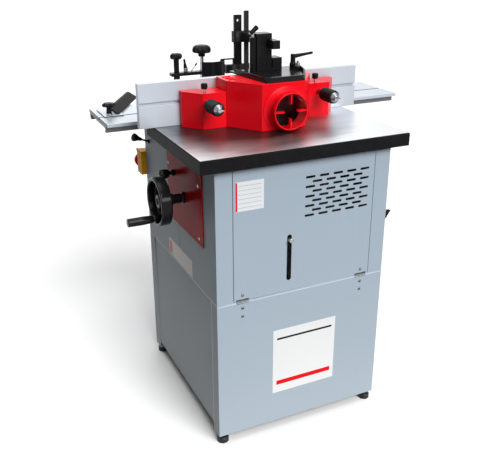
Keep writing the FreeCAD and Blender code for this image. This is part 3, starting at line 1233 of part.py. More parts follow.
# Hold-down on the sliding table: foot, post and arm in one welded piece
def hold_down():
    half = "hold_foot / 2"
    stem_floor = "hold_arm_high - hold_arm_gauge / 2"
    post = fuse("hold_solid",
                block("hold_foot_plate", ("hold_x - " + half, "hold_x + " + half),
                      ("hold_y - " + half, "hold_y + " + half),
                      ("table_top", "table_top + hold_foot_gauge")),
                rod("hold_post", "z", "hold_post_radius",
                    ("table_top", "hold_arm_low + hold_arm_gauge / 2"),
                    ("hold_x", "hold_y")),
                block("hold_arm", ("hold_screw_x - hold_arm_back", "hold_x + hold_arm_back"),
                      ("hold_y - hold_arm_half", "hold_y + hold_arm_half"),
                      ("hold_arm_low", "hold_arm_high")))
    bores = [rod("hold_screw_bore", "z", "hold_screw_radius + running_gap",
                 ("hold_arm_low - overrun", "hold_arm_high + overrun"), ("hold_screw_x", "hold_y")),
             rod("hold_stem_bore", "z", "hold_stem_radius + running_gap",
                 (stem_floor, "hold_arm_high + overrun"), ("hold_x", "hold_y")),
             rod("hold_lever_bore", "z", "hold_stem_radius + running_gap",
                 (stem_floor, "hold_arm_high + overrun"), ("hold_lever_x", "hold_y"))]
    node(cut("hold_down_post", post, *bores), "hold_down_post")

    pad_top = "hold_screw_low + hold_pad"
    profile = [("0", "hold_screw_low"), ("hold_pad_radius", "hold_screw_low"), ("hold_pad_radius", pad_top),
               ("hold_screw_radius", pad_top), ("hold_screw_radius", "hold_screw_top")]
    for wide, high in knob_outline_shares:
        profile.append(("mushroom_knob_radius * %s" % wide, "hold_screw_top + mushroom_knob * %s" % high))
    profile.append(("0", "hold_screw_top + mushroom_knob"))
    node(turned("hold_down_screw", "z", profile, ("hold_screw_x", "hold_y")), "hold_down_screw")

    seat = "hold_arm_high + face_gap"
    sleeve = seat + " + hold_sleeve"
    top = sleeve + " + hold_knob_depth"
    stem_low = stem_floor + " + face_gap"
    centre = ("hold_x", "hold_y")
    parts = star_knob("hold_star", "z", "hold_knob_radius", (sleeve, top), centre)
    profile = [("0", stem_low), ("hold_stem_radius", stem_low), ("hold_stem_radius", seat),
               ("hold_sleeve_radius", seat),
               ("hold_sleeve_radius", sleeve), ("hold_sleeve_radius", top), ("0", top)]
    parts.append(turned("hold_sleeve_turned", "z", profile, centre))
    node(fuse("hold_down_knob", *parts), "hold_down_knob")

    hub = seat + " + clamp_hub"
    profile = [("0", stem_low), ("hold_stem_radius", stem_low), ("hold_stem_radius", seat),
               ("clamp_hub_radius", seat),
               ("clamp_hub_radius", hub), ("0", hub)]
    arm = lever_arm("hold_lever_arm", ("hold_lever_x", "hold_y", "hold_arm_high + clamp_hub / 2"),
                    "clamp_arm",
                    ("hold_lever_root", "hold_lever_tip"), 0, worked("hold_lever_lean"))
    node(fuse("hold_down_lever", turned("hold_lever_hub", "z", profile, ("hold_lever_x", "hold_y")), arm),
         "hold_down_lever")


# Plan of the hood: a rear face for the port, two angled cheeks, straight sides to the fence
def hood_plan(inset):
    face_half = "port_face_half - %s / 2" % inset
    side_half = "shoulder_half - %s" % inset
    rear = "port_face_y - %s" % inset
    shoulder = "shoulder_y - %s / 2" % inset
    front = "-hood_front" if inset == "0" else "-hood_front - overrun"
    return [("hood_x + " + side_half, front), ("hood_x + " + side_half, shoulder),
            ("hood_x + " + face_half, rear), ("hood_x - (%s)" % face_half, rear),
            ("hood_x - (%s)" % side_half, shoulder), ("hood_x - (%s)" % side_half, front)]


def cutter_hood():
    outer = prism("hood_outer", "z", hood_plan("0"), ("table_top", "hood_top"))
    inner = prism("hood_inner", "z", hood_plan("hood_wall"),
                  ("table_top - overrun", "hood_top - hood_wall"))
    port = rod("hood_port_hole", "y", "port_radius - port_wall", ("shoulder_y", "port_face_y + overrun"),
               ("port_x", "port_z"))
    slots = [block("rim_slot_%d" % index,
                   ("rim_slot_x - rim_slot / 2", "rim_slot_x + rim_slot / 2"),
                   ("rim_slot_y + %d * rim_slot_pitch - rim_slot_width / 2" % index,
                    "rim_slot_y + %d * rim_slot_pitch + rim_slot_width / 2" % index),
                   ("hood_top - hood_wall - overrun", "hood_top + overrun")) for index in range(3)]
    return node(cut("cutter_hood", outer, inner, port, *slots), "cutter_hood")


def hood_top_plate():
    def plan(inset):
        return [("hood_plate_left_front - " + inset, "-hood_plate_front + " + inset),
                ("hood_plate_left_rear - " + inset, "hood_plate_rear - " + inset),
                ("-hood_plate_right_rear", "hood_plate_rear - " + inset),
                ("-hood_plate_right + " + inset, "hood_plate_corner"),
                ("-hood_plate_right_front + " + inset, "-hood_plate_step"),
                ("-hood_plate_right_front + " + inset, "-hood_plate_front + " + inset)]
    plate = prism("hood_plate_flat", "z", plan("0"), ("hood_top", "plate_top"))
    stud = rod("plate_lever_hole", "z", "plate_lever_stud + running_gap",
               ("hood_top - overrun", "plate_top + overrun"),
               ("plate_lever_x", "plate_lever_y"))
    return node(cut("hood_top_plate", plate, stud), "hood_top_plate")


bell_waist_share = 0.6


# Dust port: a bell that flares on to the hood's face, a straight collar and four ribs in its mouth
def dust_port():
    seat = "port_face_y"
    bore = "port_radius - port_wall"
    profile = [(bore, seat), ("bell_radius", seat),
               ("bell_radius - bell_depth / 2", seat + " + bell_depth"),
               ("bell_waist", seat + " + bell_neck * %s" % bell_waist_share),
               ("port_radius", seat + " + bell_neck"),
               ("port_radius", "port_end"), (bore, "port_end")]
    centre = ("port_x", "port_z")
    bell = cut("port_bell", turned("port_turned", "y", profile, centre),
               block("port_table_cut", ("port_x - 2 * bell_radius", "port_x + 2 * bell_radius"),
                     ("port_face_y - overrun", "port_end + overrun"),
                     ("port_z - 2 * bell_radius", "table_top + bell_seat")))
    rib_y = ("port_end - port_rib_set - port_rib_depth", "port_end - port_rib_set")
    far = "port_radius - port_wall / 2"
    half = "port_rib / 2"
    ribs = [block("port_rib_%d" % index, x_limits, rib_y, z_limits) for index,
            (x_limits, z_limits) in enumerate((
        (("port_x + port_rib_in", "port_x + " + far), ("port_z - " + half, "port_z + " + half)),
        (("port_x - (%s)" % far, "port_x - port_rib_in"), ("port_z - " + half, "port_z + " + half)),
        (("port_x - " + half, "port_x + " + half), ("port_z + port_rib_in", "port_z + " + far)),
        (("port_x - " + half, "port_x + " + half), ("port_z - (%s)" % far, "port_z - port_rib_in"))))]
    return node(fuse("dust_port", bell, *ribs), "dust_port")


# Boxes beside the hood that hold the fence carriers
def fence_boxes():
    boxes = []
    for side in (1, -1):
        way = "+" if side > 0 else "-"
        tag = mirrored_name(side)

        def plan(inset):
            start = "box_mid %s (shoulder_half + %s)" % (way, inset)
            front = "-hood_front" if inset == "0" else "-hood_front - overrun"
            return [(start, front), (start, "box_rear - " + inset),
                    ("box_mid %s (box_corner_%s - %s / 2)" % (way, tag, inset), "box_rear - " + inset),
                    ("box_mid %s (box_side_%s - %s)" % (way, tag, inset), "box_chamfer_y - %s / 2" % inset),
                    ("box_mid %s (box_side_%s - %s)" % (way, tag, inset), front)]
        outer = prism("box_outer_" + tag, "z", plan("0"), ("table_top", "box_top"))
        inner = prism("box_inner_" + tag, "z", plan("box_wall"),
                      ("table_top - overrun", "box_top - box_wall"))
        screw = rod("box_screw_hole_" + tag, "y", "adjuster_screw + fit_gap",
                    ("box_rear - box_wall - overrun", "box_rear + overrun"),
                    ("box_mid %s adjuster_%s" % (way, tag), "adjuster_z"))
        clamp = rod("box_clamp_hole_" + tag, "z", "clamp_stem_radius + fit_gap",
                    ("box_top - box_wall - overrun", "box_top + overrun"),
                    ("box_mid %s clamp_%s" % (way, tag), "clamp_y"))
        boxes.append(cut("box_" + tag, outer, inner, screw, clamp))
    return node(group("fence_boxes", *boxes), "fence_boxes")


# Each fence side: carrier in the box, board on the carrier's key, adjuster and clamp knob
def fence_side(side):
    tag = mirrored_name(side)
    way = "+" if side > 0 else "-"

    def along(near, far):
        near_place = "box_mid %s (%s)" % (way, near)
        far_place = "box_mid %s (%s)" % (way, far)
        return (near_place, far_place) if side > 0 else (far_place, near_place)
    key_z = ("table_top + groove_low + key_gap", "table_top + groove_high - key_gap")
    carrier_x = along("adjuster_%s - carrier_near" % tag, "adjuster_%s + carrier_far" % tag)
    carrier = fuse("carrier_solid_" + tag,
                   block("carrier_block_" + tag, carrier_x,
                         ("-board_rear + face_gap", "carrier_rear"),
                         ("table_top + carrier_low", "table_top + carrier_high")),
                   block("carrier_key_" + tag, carrier_x,
                         ("-board_rear - key_reach", "-board_rear + overrun"), key_z))
    screw_x = "box_mid %s adjuster_%s" % (way, tag)
    bore = rod("carrier_bore_" + tag, "y", "adjuster_screw + running_gap",
               ("-board_rear + overrun", "carrier_rear + overrun"), (screw_x, "adjuster_z"))
    node(cut(tag + "_fence_carrier", carrier, bore), tag + "_fence_carrier")

    outer_end = "board_%s_end" % tag
    inner_end = outer_end + " - board_length"
    board = block("board_blank_" + tag, along(inner_end, outer_end), ("-board_front", "-board_rear"),
                  ("table_top + face_gap", "board_top"))
    groove = block("board_groove_" + tag, along(inner_end + " - overrun", outer_end + " + overrun"),
                   ("-board_rear - groove_cut", "-board_rear + overrun"),
                   ("table_top + groove_low", "table_top + groove_high"))
    node(cut(tag + "_fence_board", board, groove), tag + "_fence_board")

    collar = "box_rear + face_gap"
    shoulder = collar + " + adjuster_collar"
    body = shoulder + " + adjuster_taper"
    cap = shoulder + " + adjuster_body"
    end = cap + " + adjuster_cap"
    profile = [("0", "-adjuster_tip"), ("adjuster_screw", "-adjuster_tip"), ("adjuster_screw", collar),
               ("adjuster_collar_radius", collar), ("adjuster_collar_radius", shoulder),
               ("adjuster_shoulder", shoulder), ("adjuster_radius", body),
               ("adjuster_radius", cap + " - adjuster_edge"),
               ("adjuster_radius - adjuster_edge", cap), ("adjuster_cap_radius", cap),
               ("adjuster_cap_radius", end),
               ("0", end)]
    tab = block("adjuster_tab_" + tag, (screw_x + " - adjuster_tab_half", screw_x + " + adjuster_tab_half"),
                (end + " - overrun", end + " + adjuster_tab"),
                ("adjuster_z - adjuster_tab_gauge / 2", "adjuster_z + adjuster_tab_gauge / 2"))
    node(fuse(tag + "_adjuster", turned("adjuster_turned_" + tag, "y", profile, (screw_x, "adjuster_z")),
              tab),
         tag + "_adjuster")

    low = "table_top + carrier_high + clamp_end_gap"
    head = "box_top + clamp_stem"
    top = head + " + clamp_knob_height"
    profile = [("0", low), ("clamp_stem_radius", low), ("clamp_stem_radius", head),
               ("clamp_knob_radius - knob_edge", head), ("clamp_knob_radius", head + " + knob_edge"),
               ("clamp_knob_radius", top + " - knob_edge"), ("clamp_knob_radius - knob_edge", top),
               ("0", top)]
    node(turned(tag + "_clamp_knob", "z", profile, ("box_mid %s clamp_%s" % (way, tag), "clamp_y")),
         tag + "_clamp_knob")


post_rod_share = 0.5


# Post of the pressure device on the hood's plate, with a slot for the cross bar
def pressure_post():
    x_limits = ("-post_right", "-post_left")
    y_limits = ("-post_front", "-post_rear")
    rod_x = "-post_left + post_rod_radius * %s" % post_rod_share
    solid = fuse("post_solid",
                 block("post_block", x_limits, y_limits, ("plate_top", "post_top")),
                 block("post_foot", ("-post_foot_right", "-post_left"), y_limits,
                       ("plate_top", "plate_top + post_foot_gauge")),
                 block("post_foot_block", ("-post_foot_right", "-post_foot_right + foot_block"), y_limits,
                       ("plate_top", "plate_top + foot_block_height")),
                 rod("post_rod", "z", "post_rod_radius", ("plate_top", "post_rod_top"),
                     (rod_x, "post_rod_y")))
    slot = block("post_slot", ("-bar_right - bar_gap", "-bar_left + bar_gap"),
                 ("-post_front - overrun", "-post_rear + overrun"),
                 ("bar_low - bar_gap", "bar_high + bar_gap"))
    stud = rod("post_stud_bore", "z", "post_lever_stud + running_gap",
               ("post_rod_top - post_lever_hub", "post_rod_top + overrun"), (rod_x, "post_rod_y"))
    node(cut("pressure_post", solid, slot, stud), "pressure_post")

    low = "post_rod_top - post_lever_hub + face_gap"
    seat = "post_rod_top + face_gap"
    top = seat + " + post_lever_collar"
    profile = [("0", low), ("post_lever_stud", low), ("post_lever_stud", seat),
               ("post_lever_hub_radius", seat), ("post_lever_hub_radius", top), ("0", top)]
    root = (rod_x + " + post_lever_set", "post_rod_y", "post_top + post_lever_rise")
    arm = lever_arm("post_lever_arm_cone", root, "post_lever_arm", ("post_lever_root", "post_lever_tip"),
                    180,
                    worked("post_lever_lean"))
    node(fuse("post_lever", turned("post_lever_hub_turned", "z", profile, (rod_x, "post_rod_y")), arm),
         "post_lever")


# Cross bar through the post with a slotted head for the uprights
def pressure_bar():
    bar = block("cross_bar", ("-bar_right", "-bar_left"), ("-bar_front", "bar_rear"),
                ("bar_low", "bar_high"))
    head = block("bar_head", ("-head_right", "-head_left"), ("-head_front", "-bar_front"),
                 ("head_low", "head_high"))
    half = "upright_gauge / 2"
    slots = [block("head_slot_%d" % index, ("-%s - bar_gap" % right, "-%s + bar_gap" % left),
                   ("upright_y - %s - bar_gap" % half, "upright_y + %s + bar_gap" % half),
                   ("head_low - overrun", "head_high + overrun"))
             for index, (left, right) in enumerate((("flat_left", "flat_right"),
                                                    ("thin_left", "thin_right")))]
    return node(cut("pressure_bar", fuse("bar_solid", bar, head), *slots), "pressure_bar")


def pressure_uprights():
    half = "upright_gauge / 2"
    y_limits = ("upright_y - " + half, "upright_y + " + half)
    flat = block("upright_flat", ("-flat_right", "-flat_left"), y_limits, ("upright_low", "flat_top"))
    thin = block("upright_thin", ("-thin_right", "-thin_left"), y_limits, ("upright_low", "thin_top"))
    cross = block("upright_cross", ("-thin_right", "-cross_end"),
                  ("upright_y - cross_gauge / 2", "upright_y + cross_gauge / 2"),
                  ("upright_low", "cross_high"))
    hole = rod("flat_hole_bore", "y", "flat_hole", ("upright_y - cross_gauge", "upright_y + cross_gauge"),
               ("-(flat_left + flat_right) / 2", "flat_top - flat_hole_drop"))
    pin = rod("shoe_pin", "z", "shoe_pin_radius", ("shoe_low", "shoe_high + shoe_gauge"),
              ("shoe_pin_x", "upright_y"))
    fork = [block("shoe_fork_%d" % index, ("-flat_left", "shoe_pin_x + shoe_pin_radius"),
                  ("upright_y - shoe_pin_radius", "upright_y + shoe_pin_radius"), limits)
            for index, limits in enumerate((("shoe_high + shoe_gap", "shoe_high + shoe_gap + shoe_gauge"),
                                            ))]
    riser = block("shoe_fork_riser", ("-flat_left - shoe_pin_radius", "-flat_left + shoe_pin_radius"),
                  ("upright_y - shoe_pin_radius", "upright_y + shoe_pin_radius"),
                  ("upright_low", "shoe_high + shoe_gap + shoe_gauge"))
    solid = cut("upright_open", fuse("upright_solid", flat, thin, cross), hole)
    return node(fuse("pressure_uprights", solid, pin, riser, *fork), "pressure_uprights")


# Pressure shoe: a flat spring plate on the pin whose end bends away from the fence
def pressure_shoe():
    z_limits = ("shoe_low", "shoe_high")
    face = "upright_y + shoe_ahead"
    flat = block("shoe_plate", ("shoe_pin_x", "shoe_pin_x + shoe_flat"), (face, face + " + shoe_gauge"),
                 z_limits)
    stem = block("shoe_stem", ("shoe_pin_x - shoe_pin_radius", "shoe_pin_x + shoe_pin_radius"),
                 ("upright_y", face + " + shoe_gauge"), z_limits)
    barrel = rod("shoe_barrel_rod", "z", "shoe_barrel", z_limits, ("shoe_pin_x", "upright_y"))
    bend_centre = ("shoe_pin_x + shoe_flat", face + " + shoe_gauge - shoe_bend")
    outer = rod("shoe_bend_outer", "z", "shoe_bend", z_limits, bend_centre)
    outer.Placement = Placement(Vector(), Rotation(Vector(0, 0, 1), 90 - worked("shoe_bend_angle")))
    bind(outer, "Angle", "shoe_bend_angle")
    inner = rod("shoe_bend_inner", "z", "shoe_bend - shoe_gauge",
                ("shoe_low - overrun", "shoe_high + overrun"), bend_centre)
    bore = rod("shoe_bore", "z", "shoe_pin_radius + running_gap",
               ("shoe_low - overrun", "shoe_high + overrun"),
               ("shoe_pin_x", "upright_y"))
    solid = fuse("shoe_solid", flat, stem, barrel, cut("shoe_bend_strip", outer, inner))
    return node(cut("pressure_shoe", solid, bore), "pressure_shoe")


lever_root_share = 0.8


def plate_lever():
    low = "hood_top + face_gap"
    seat = "plate_top + face_gap"
    hub = seat + " + plate_lever_hub"
    profile = [("0", low), ("plate_lever_stud", low), ("plate_lever_stud", seat),
               ("plate_lever_hub_radius", seat),
               ("plate_lever_hub_radius", seat + " + plate_lever_hub / 3"),
               ("clamp_hub_radius", seat + " + plate_lever_hub / 2"), ("clamp_hub_radius", hub), ("0", hub)]
    arm = lever_arm("plate_lever_cone", ("plate_lever_x", "plate_lever_y",
                                         "plate_top + plate_lever_hub * %s" % lever_root_share),
                    "plate_lever_arm", ("plate_lever_root", "plate_lever_tip"), 180,
                    worked("plate_lever_lean"))
    return node(fuse("plate_lever", turned("plate_lever_turned", "z", profile,
                                           ("plate_lever_x", "plate_lever_y")), arm),
                "plate_lever")


for build in (base_panels, levelling_feet, cabinet_fasteners, hinge_leaves, cabinet_shell, rear_door,
              side_plate,
              shaft_bush, handwheel, handwheel_grip, handwheel_shaft, lift_screw, lift_bracket,
              height_lock_knob,
              side_latch, slide_lock_lever, switch, table, insert_rings, guide_columns, lift_carriage,
              spindle_bearings, spindle_shaft, spindle_rings, drive_pulleys, drive_belt, motor_body,
              tension_knob,
              sliding_table, slide_rail, slide_brackets, mitre_plate, mitre_knob, hold_down, cutter_hood,
              hood_top_plate, dust_port, fence_boxes, pressure_post, pressure_bar, pressure_uprights,
              pressure_shoe, plate_lever):
    build()
for fence_way in (1, -1):
    fence_side(fence_way)
doc.recompute()

faults = [item.Name for item in doc.Objects if "Invalid" in item.State or "Error" in item.State]
for piece in nodes:
    if piece.Shape.isNull() or not piece.Shape.isValid() or not piece.Shape.Solids:
        faults.append(piece.Label)
if faults:
    raise RuntimeError("these pieces failed: " + ", ".join(faults))

os.makedirs("parts", exist_ok=True)
for piece in nodes:
    piece.Shape.exportStep(os.path.join("parts", piece.Label + ".step"))
print("%d sub-parts written" % len(nodes))
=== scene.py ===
import json
import math

import bmesh
import bpy
from mathutils import Matrix, Vector


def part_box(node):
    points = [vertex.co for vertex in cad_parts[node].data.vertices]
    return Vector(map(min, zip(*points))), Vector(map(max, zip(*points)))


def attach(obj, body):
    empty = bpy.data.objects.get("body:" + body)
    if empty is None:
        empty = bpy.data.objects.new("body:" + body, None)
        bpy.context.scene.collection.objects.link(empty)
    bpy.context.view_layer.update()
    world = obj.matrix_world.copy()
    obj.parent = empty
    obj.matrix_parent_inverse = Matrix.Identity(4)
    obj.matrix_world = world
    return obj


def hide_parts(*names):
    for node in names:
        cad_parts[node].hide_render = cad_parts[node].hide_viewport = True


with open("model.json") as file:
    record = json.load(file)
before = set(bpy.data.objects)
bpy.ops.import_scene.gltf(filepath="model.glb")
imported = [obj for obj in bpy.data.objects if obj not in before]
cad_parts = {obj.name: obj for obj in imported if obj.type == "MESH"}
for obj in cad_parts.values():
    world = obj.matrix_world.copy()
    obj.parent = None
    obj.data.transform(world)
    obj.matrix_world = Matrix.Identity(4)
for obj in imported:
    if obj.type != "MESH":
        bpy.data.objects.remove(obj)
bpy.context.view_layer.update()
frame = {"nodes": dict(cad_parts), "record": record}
nodes = frame["nodes"]
slotOf = {item["node"]: item["material_slot"] for item in frame["record"]["subparts"]}
bodies = frame["record"]["behaviour"]["bodies"]
bodyOf = {node: body for body, members in bodies.items() for node in members}
print("frame loaded:", len(nodes), "nodes")


# A dictionary whose values are also read as attributes
class Look(dict):
    __getattr__ = dict.__getitem__


# Sockets with arithmetic, for shader and geometry trees alike
def feed(tree, socket, value):
    if isinstance(value, Wire):
        tree.links.new(value.socket, socket)
    else:
        socket.default_value = value


class Wire:
    def __init__(self, tree, socket):
        self.tree = tree
        self.socket = socket

    def worked(self, operation, first, second):
        made = self.tree.nodes.new("ShaderNodeMath")
        made.operation = operation
        feed(self.tree, made.inputs[0], first)
        feed(self.tree, made.inputs[1], second)
        return Wire(self.tree, made.outputs[0])

    def __add__(self, other):
        return self.worked("ADD", self, other)

    def __radd__(self, other):
        return self.worked("ADD", other, self)

    def __sub__(self, other):
        return self.worked("SUBTRACT", self, other)

    def __rsub__(self, other):
        return self.worked("SUBTRACT", other, self)

    def __mul__(self, other):
        return self.worked("MULTIPLY", self, other)

    def __rmul__(self, other):
        return self.worked("MULTIPLY", other, self)

    def __truediv__(self, other):
        return self.worked("DIVIDE", self, other)

    def __rtruediv__(self, other):
        return self.worked("DIVIDE", other, self)

    def __gt__(self, other):
        return self.worked("GREATER_THAN", self, other)


class Tree:
    def __init__(self, tree):
        self.tree = tree

    def node(self, kind, settings, inputs, output=0):
        made = self.tree.nodes.new(kind)
        for key, value in settings.items():
            setattr(made, key, value)
        for key, value in inputs.items():
            feed(self.tree, made.inputs[key], value)
        return Wire(self.tree, made.outputs[output])

    def between(self, value, low, high):
        return self.node("ShaderNodeMapRange", {"clamp": True},
                         {"Value": value, "From Min": low, "From Max": high})

    # One for a ray that shows a surface to the eye, nought for a ray that only carries light
    def looking(self):
        kinds = ("Is Camera Ray", "Is Glossy Ray", "Is Transmission Ray")
        camera, glossy, through = [self.node("ShaderNodeLightPath", {}, {}, output=kind) for kind in kinds]
        return (camera + glossy + through) > 0.5


socketNames = {
    "colour": "Base Color", "metal": "Metallic", "rough": "Roughness", "coat": "Coat Weight",
    "coatRough": "Coat Roughness", "gloss": "Specular IOR Level", "normal": "Normal",
}


class Finish(Tree):
    def __init__(self, name):
        self.material = bpy.data.materials.new(name)
        self.material.use_nodes = True
        super().__init__(self.material.node_tree)
        self.shader = self.tree.nodes["Principled BSDF"]

    def place(self, **mapping):
        here = self.node("ShaderNodeTexCoord", {}, {}, output="Object")
        return self.node("ShaderNodeMapping", {}, {"Vector": here} | mapping)

    # Distance in plan from a point
    def away(self, x, y):
        place = self.place(Location=(-x, -y, 0), Scale=(1, 1, 0))
        return self.node("ShaderNodeVectorMath", {"operation": "LENGTH"}, {0: place}, output="Value")

    def noise(self, scale, detail, stretch=(1, 1, 1), warp=0.0):
        return self.node("ShaderNodeTexNoise", {}, {"Vector": self.place(Scale=stretch), "Scale": scale,
                                                    "Detail": detail, "Distortion": warp})

    def mixed(self, share, first, second):
        return self.node("ShaderNodeMix", {"data_type": "RGBA"}, {0: share, 6: first, 7: second}, output=2)

    def bump(self, height, strength, distance):
        return self.node("ShaderNodeBump", {}, {"Height": height, "Strength": strength, "Distance": distance})

    def wear(self, **values):
        for key, value in values.items():
            feed(self.tree, self.shader.inputs[socketNames[key]], value)
        return self


def tone(colour, share=1):
    return tuple(min(1, part * share) for part in colour) + (1,)


# Paint, plastic and rubber: clouded colour, patches of dust, uneven gloss, a fine skin
dustLook = Look(colour=(0.45, 0.43, 0.40), finer=7, patch=(0.5, 0.8))
coatedLooks = {
    "cabinet_paint": dict(colour=(0.37, 0.45, 0.53), spread=0.02, cloud=3.0, skin=900, skinStrength=0.08,
                          gloss=0.05),
    "signal_red": dict(colour=(0.72, 0.003, 0.010), spread=0.03, cloud=9.0, dust=0.003, skin=420, rough=0.26,
                       gloss=0.10),
    # The side plate: the same red paint made darker as painted shade, for the shaded side of the machine
    "plate_red": dict(colour=(0.40, 0.003, 0.007), spread=0.03, cloud=9.0, dust=0.003, skin=420, rough=0.3,
                      gloss=0.02),
    "black_paint": dict(colour=(0.010, 0.010, 0.011), spread=0.15, dust=0.005, skin=700, rough=0.26,
                        gloss=0.07),
    "black_plastic": dict(colour=(0.007, 0.007, 0.008), cloud=22.0, dust=0.010, skin=2600, skinStrength=0.2,
                          rough=0.36, gloss=0.08),
    "black_gloss": dict(colour=(0.007, 0.007, 0.008), cloud=18.0, dust=0.006, skin=900, skinStrength=0.06,
                        rough=0.17, gloss=0.13),
    "foot_rubber": dict(colour=(0.014, 0.014, 0.014), spread=0.2, cloud=40.0, dust=0.05, skin=1500,
                        skinStrength=0.2, rough=0.38, gloss=0.25),
    "belt_rubber": dict(colour=(0.018, 0.017, 0.016), spread=0.25, cloud=60.0, dust=0.10, skin=1900,
                        skinStrength=0.45, rough=0.8, gloss=0.2),
    "motor_paint": dict(colour=(0.085, 0.095, 0.11), spread=0.08, dust=0.06, skin=600, skinStrength=0.25,
                        rough=0.48),
    "switch_yellow": dict(colour=(1.0, 0.46, 0.003), cloud=25.0, dust=0.004, skin=2200, rough=0.4,
                          gloss=0.05),
    "stop_red": dict(colour=(0.66, 0.004, 0.008), cloud=30.0, dust=0.004, skin=2200, rough=0.32, gloss=0.1),
    "start_green": dict(colour=(0.010, 0.26, 0.05), cloud=30.0, skin=2200, rough=0.3, coat=0.2),
    "castings": dict(colour=(0.10, 0.105, 0.11), spread=0.15, cloud=20.0, dust=0.08, skin=330,
                     skinStrength=0.6, skinDepth=0.0012, rough=0.62),
    "edge_black": dict(colour=(0.009, 0.009, 0.010), spread=0.5, cloud=34.0, dust=0.010, skin=260,
                       skinStrength=0.45, skinDepth=0.0010, rough=0.5, gloss=0.04),
    "plain_label": dict(colour=(0.75, 0.78, 0.80), spread=0.015, skinStrength=0.05, rough=0.34, gloss=0.1),
    # Painted highlight: a paler cabinet blue along the folds and seams of the base's panels
    "pale_seam": dict(colour=(0.56, 0.63, 0.70), spread=0.04, gloss=0.2),
    "ruled_grey": dict(colour=(0.42, 0.43, 0.45), spread=0.03, skinStrength=0.05),
    # Painted shade: near black, put in hollows, sockets and gaps where shade falls
    "dark_recess": dict(colour=(0.004, 0.004, 0.004), spread=0.2, cloud=60.0, rough=0.7, gloss=0.1),
}


def coatedFinish(name, colour, spread=0.05, cloud=12.0, dust=0.02, skin=1200, skinStrength=0.12,
                 skinDepth=0.0004, rough=0.4, roughSpread=0.1, coat=0.0, coatRough=0.2, gloss=0.4):
    made = Finish(name)
    clouds = made.noise(cloud, detail=4)
    dusty = made.between(made.noise(cloud * dustLook.finer, detail=6), *dustLook.patch) * dust
    shade = made.mixed(clouds, tone(colour, 1 - spread), tone(colour, 1 + spread))
    made.wear(colour=made.mixed(dusty, shade, tone(dustLook.colour)),
              rough=rough + (clouds - 0.5) * roughSpread + dusty,
              normal=made.bump(made.noise(skin, detail=2), skinStrength, skinDepth))
    return made.wear(coat=coat, coatRough=coatRough, gloss=gloss).material


# Bare metal: lines left by the tool along one way, stains, uneven gloss
lineLook = Look(depth=0.0003, tone=0.55, stainWarp=0.4)
metalLooks = {
    "bright_steel": dict(colour=(0.58, 0.58, 0.59), spread=0.06, lines=26.0, stretch=(8, 8, 60), stain=30.0,
                         lineShade=0.20, rough=0.24, roughSpread=0.12, lineStrength=0.10),
    "zinc_steel": dict(colour=(0.34, 0.34, 0.33), spread=0.10, lines=40.0, stretch=(10, 10, 10), stain=60.0,
                       lineShade=0.15, rough=0.34, roughSpread=0.14, lineStrength=0.08),
    "dull_steel": dict(colour=(0.15, 0.16, 0.17), spread=0.10, lines=40.0, stretch=(10, 10, 10), stain=60.0,
                       lineShade=0.15, rough=0.55, roughSpread=0.10, lineStrength=0.08, metal=0.7),
    "anodised": dict(colour=(0.48, 0.52, 0.575), spread=0.03, lines=12.0, stretch=(0.8, 160, 160), stain=4.0,
                     lineShade=0.14, rough=0.42, roughSpread=0.10, lineStrength=0.03, metal=0.4),
    # Painted shade in the fence groove: the aluminium a little darker and duller
    "groove_metal": dict(colour=(0.45, 0.48, 0.52), spread=0.05, lines=12.0, stretch=(0.8, 160, 160),
                         stain=4.0, lineShade=0.10, rough=0.5, roughSpread=0.10, lineStrength=0.03,
                         metal=0.6),
    "chrome_end": dict(colour=(0.25, 0.25, 0.27), spread=0.04, lines=30.0, stretch=(6, 60, 6), stain=40.0,
                       lineShade=0.10, rough=0.20, roughSpread=0.08, lineStrength=0.04),
}


def metalFinish(name, colour, spread, lines, stretch, stain, lineShade, rough, roughSpread, lineStrength,
                metal=1.0):
    made = Finish(name)
    lined = made.noise(lines, detail=5, stretch=stretch)
    stained = made.noise(stain, detail=5, warp=lineLook.stainWarp)
    shade = made.mixed(stained, tone(colour, 1 - spread), tone(colour, 1 + spread))
    made.wear(colour=made.mixed(lined * lineShade, shade, tone(colour, lineLook.tone)),
              rough=rough + (lined + stained - 1) * roughSpread,
              normal=made.bump(lined, lineStrength, lineLook.depth))
    return made.wear(metal=metal).material


# Ground table top: fine lines along its length, painted shade round the hood that thins out outwards
# The painted shade is a dull dark grey that darkens the table's reflections near the hood; the lines take the
# same grey
groundLook = Look(colour=(0.68, 0.70, 0.73), film=(0.084, 0.083, 0.087), filmCentre=(0.10, -0.01),
                  filmReach=(0.17, 0.36), filmWarp=0.16, smear=5.0, smearStretch=(1, 3, 1), smearWarp=0.6,
                  lines=9.0, stretch=(0.5, 60, 60), lineShade=0.12, rough=0.36, roughSpread=0.12,
                  lineStrength=0.010)


def groundFinish(name, look):
    made = Finish(name)
    lines = made.noise(look.lines, detail=5, stretch=look.stretch)
    smear = made.noise(look.smear, detail=5, stretch=look.smearStretch, warp=look.smearWarp)
    clearOfPaintedShade = made.between(made.away(*look.filmCentre) + (smear - 0.5) * look.filmWarp, *look.filmReach)
    shade = made.mixed(clearOfPaintedShade, tone(look.film), tone(look.colour))
    made.wear(colour=made.mixed(lines * look.lineShade, shade, tone(look.film)),
              rough=look.rough + (lines + smear - 1) * look.roughSpread,
              normal=made.bump(lines, look.lineStrength, lineLook.depth))
    return made.wear(metal=1.0).material


finishes = {name: coatedFinish(name, **look) for name, look in coatedLooks.items()}
finishes |= {name: metalFinish(name, **look) for name, look in metalLooks.items()}
finishes["cast_table"] = groundFinish("cast_table", groundLook)
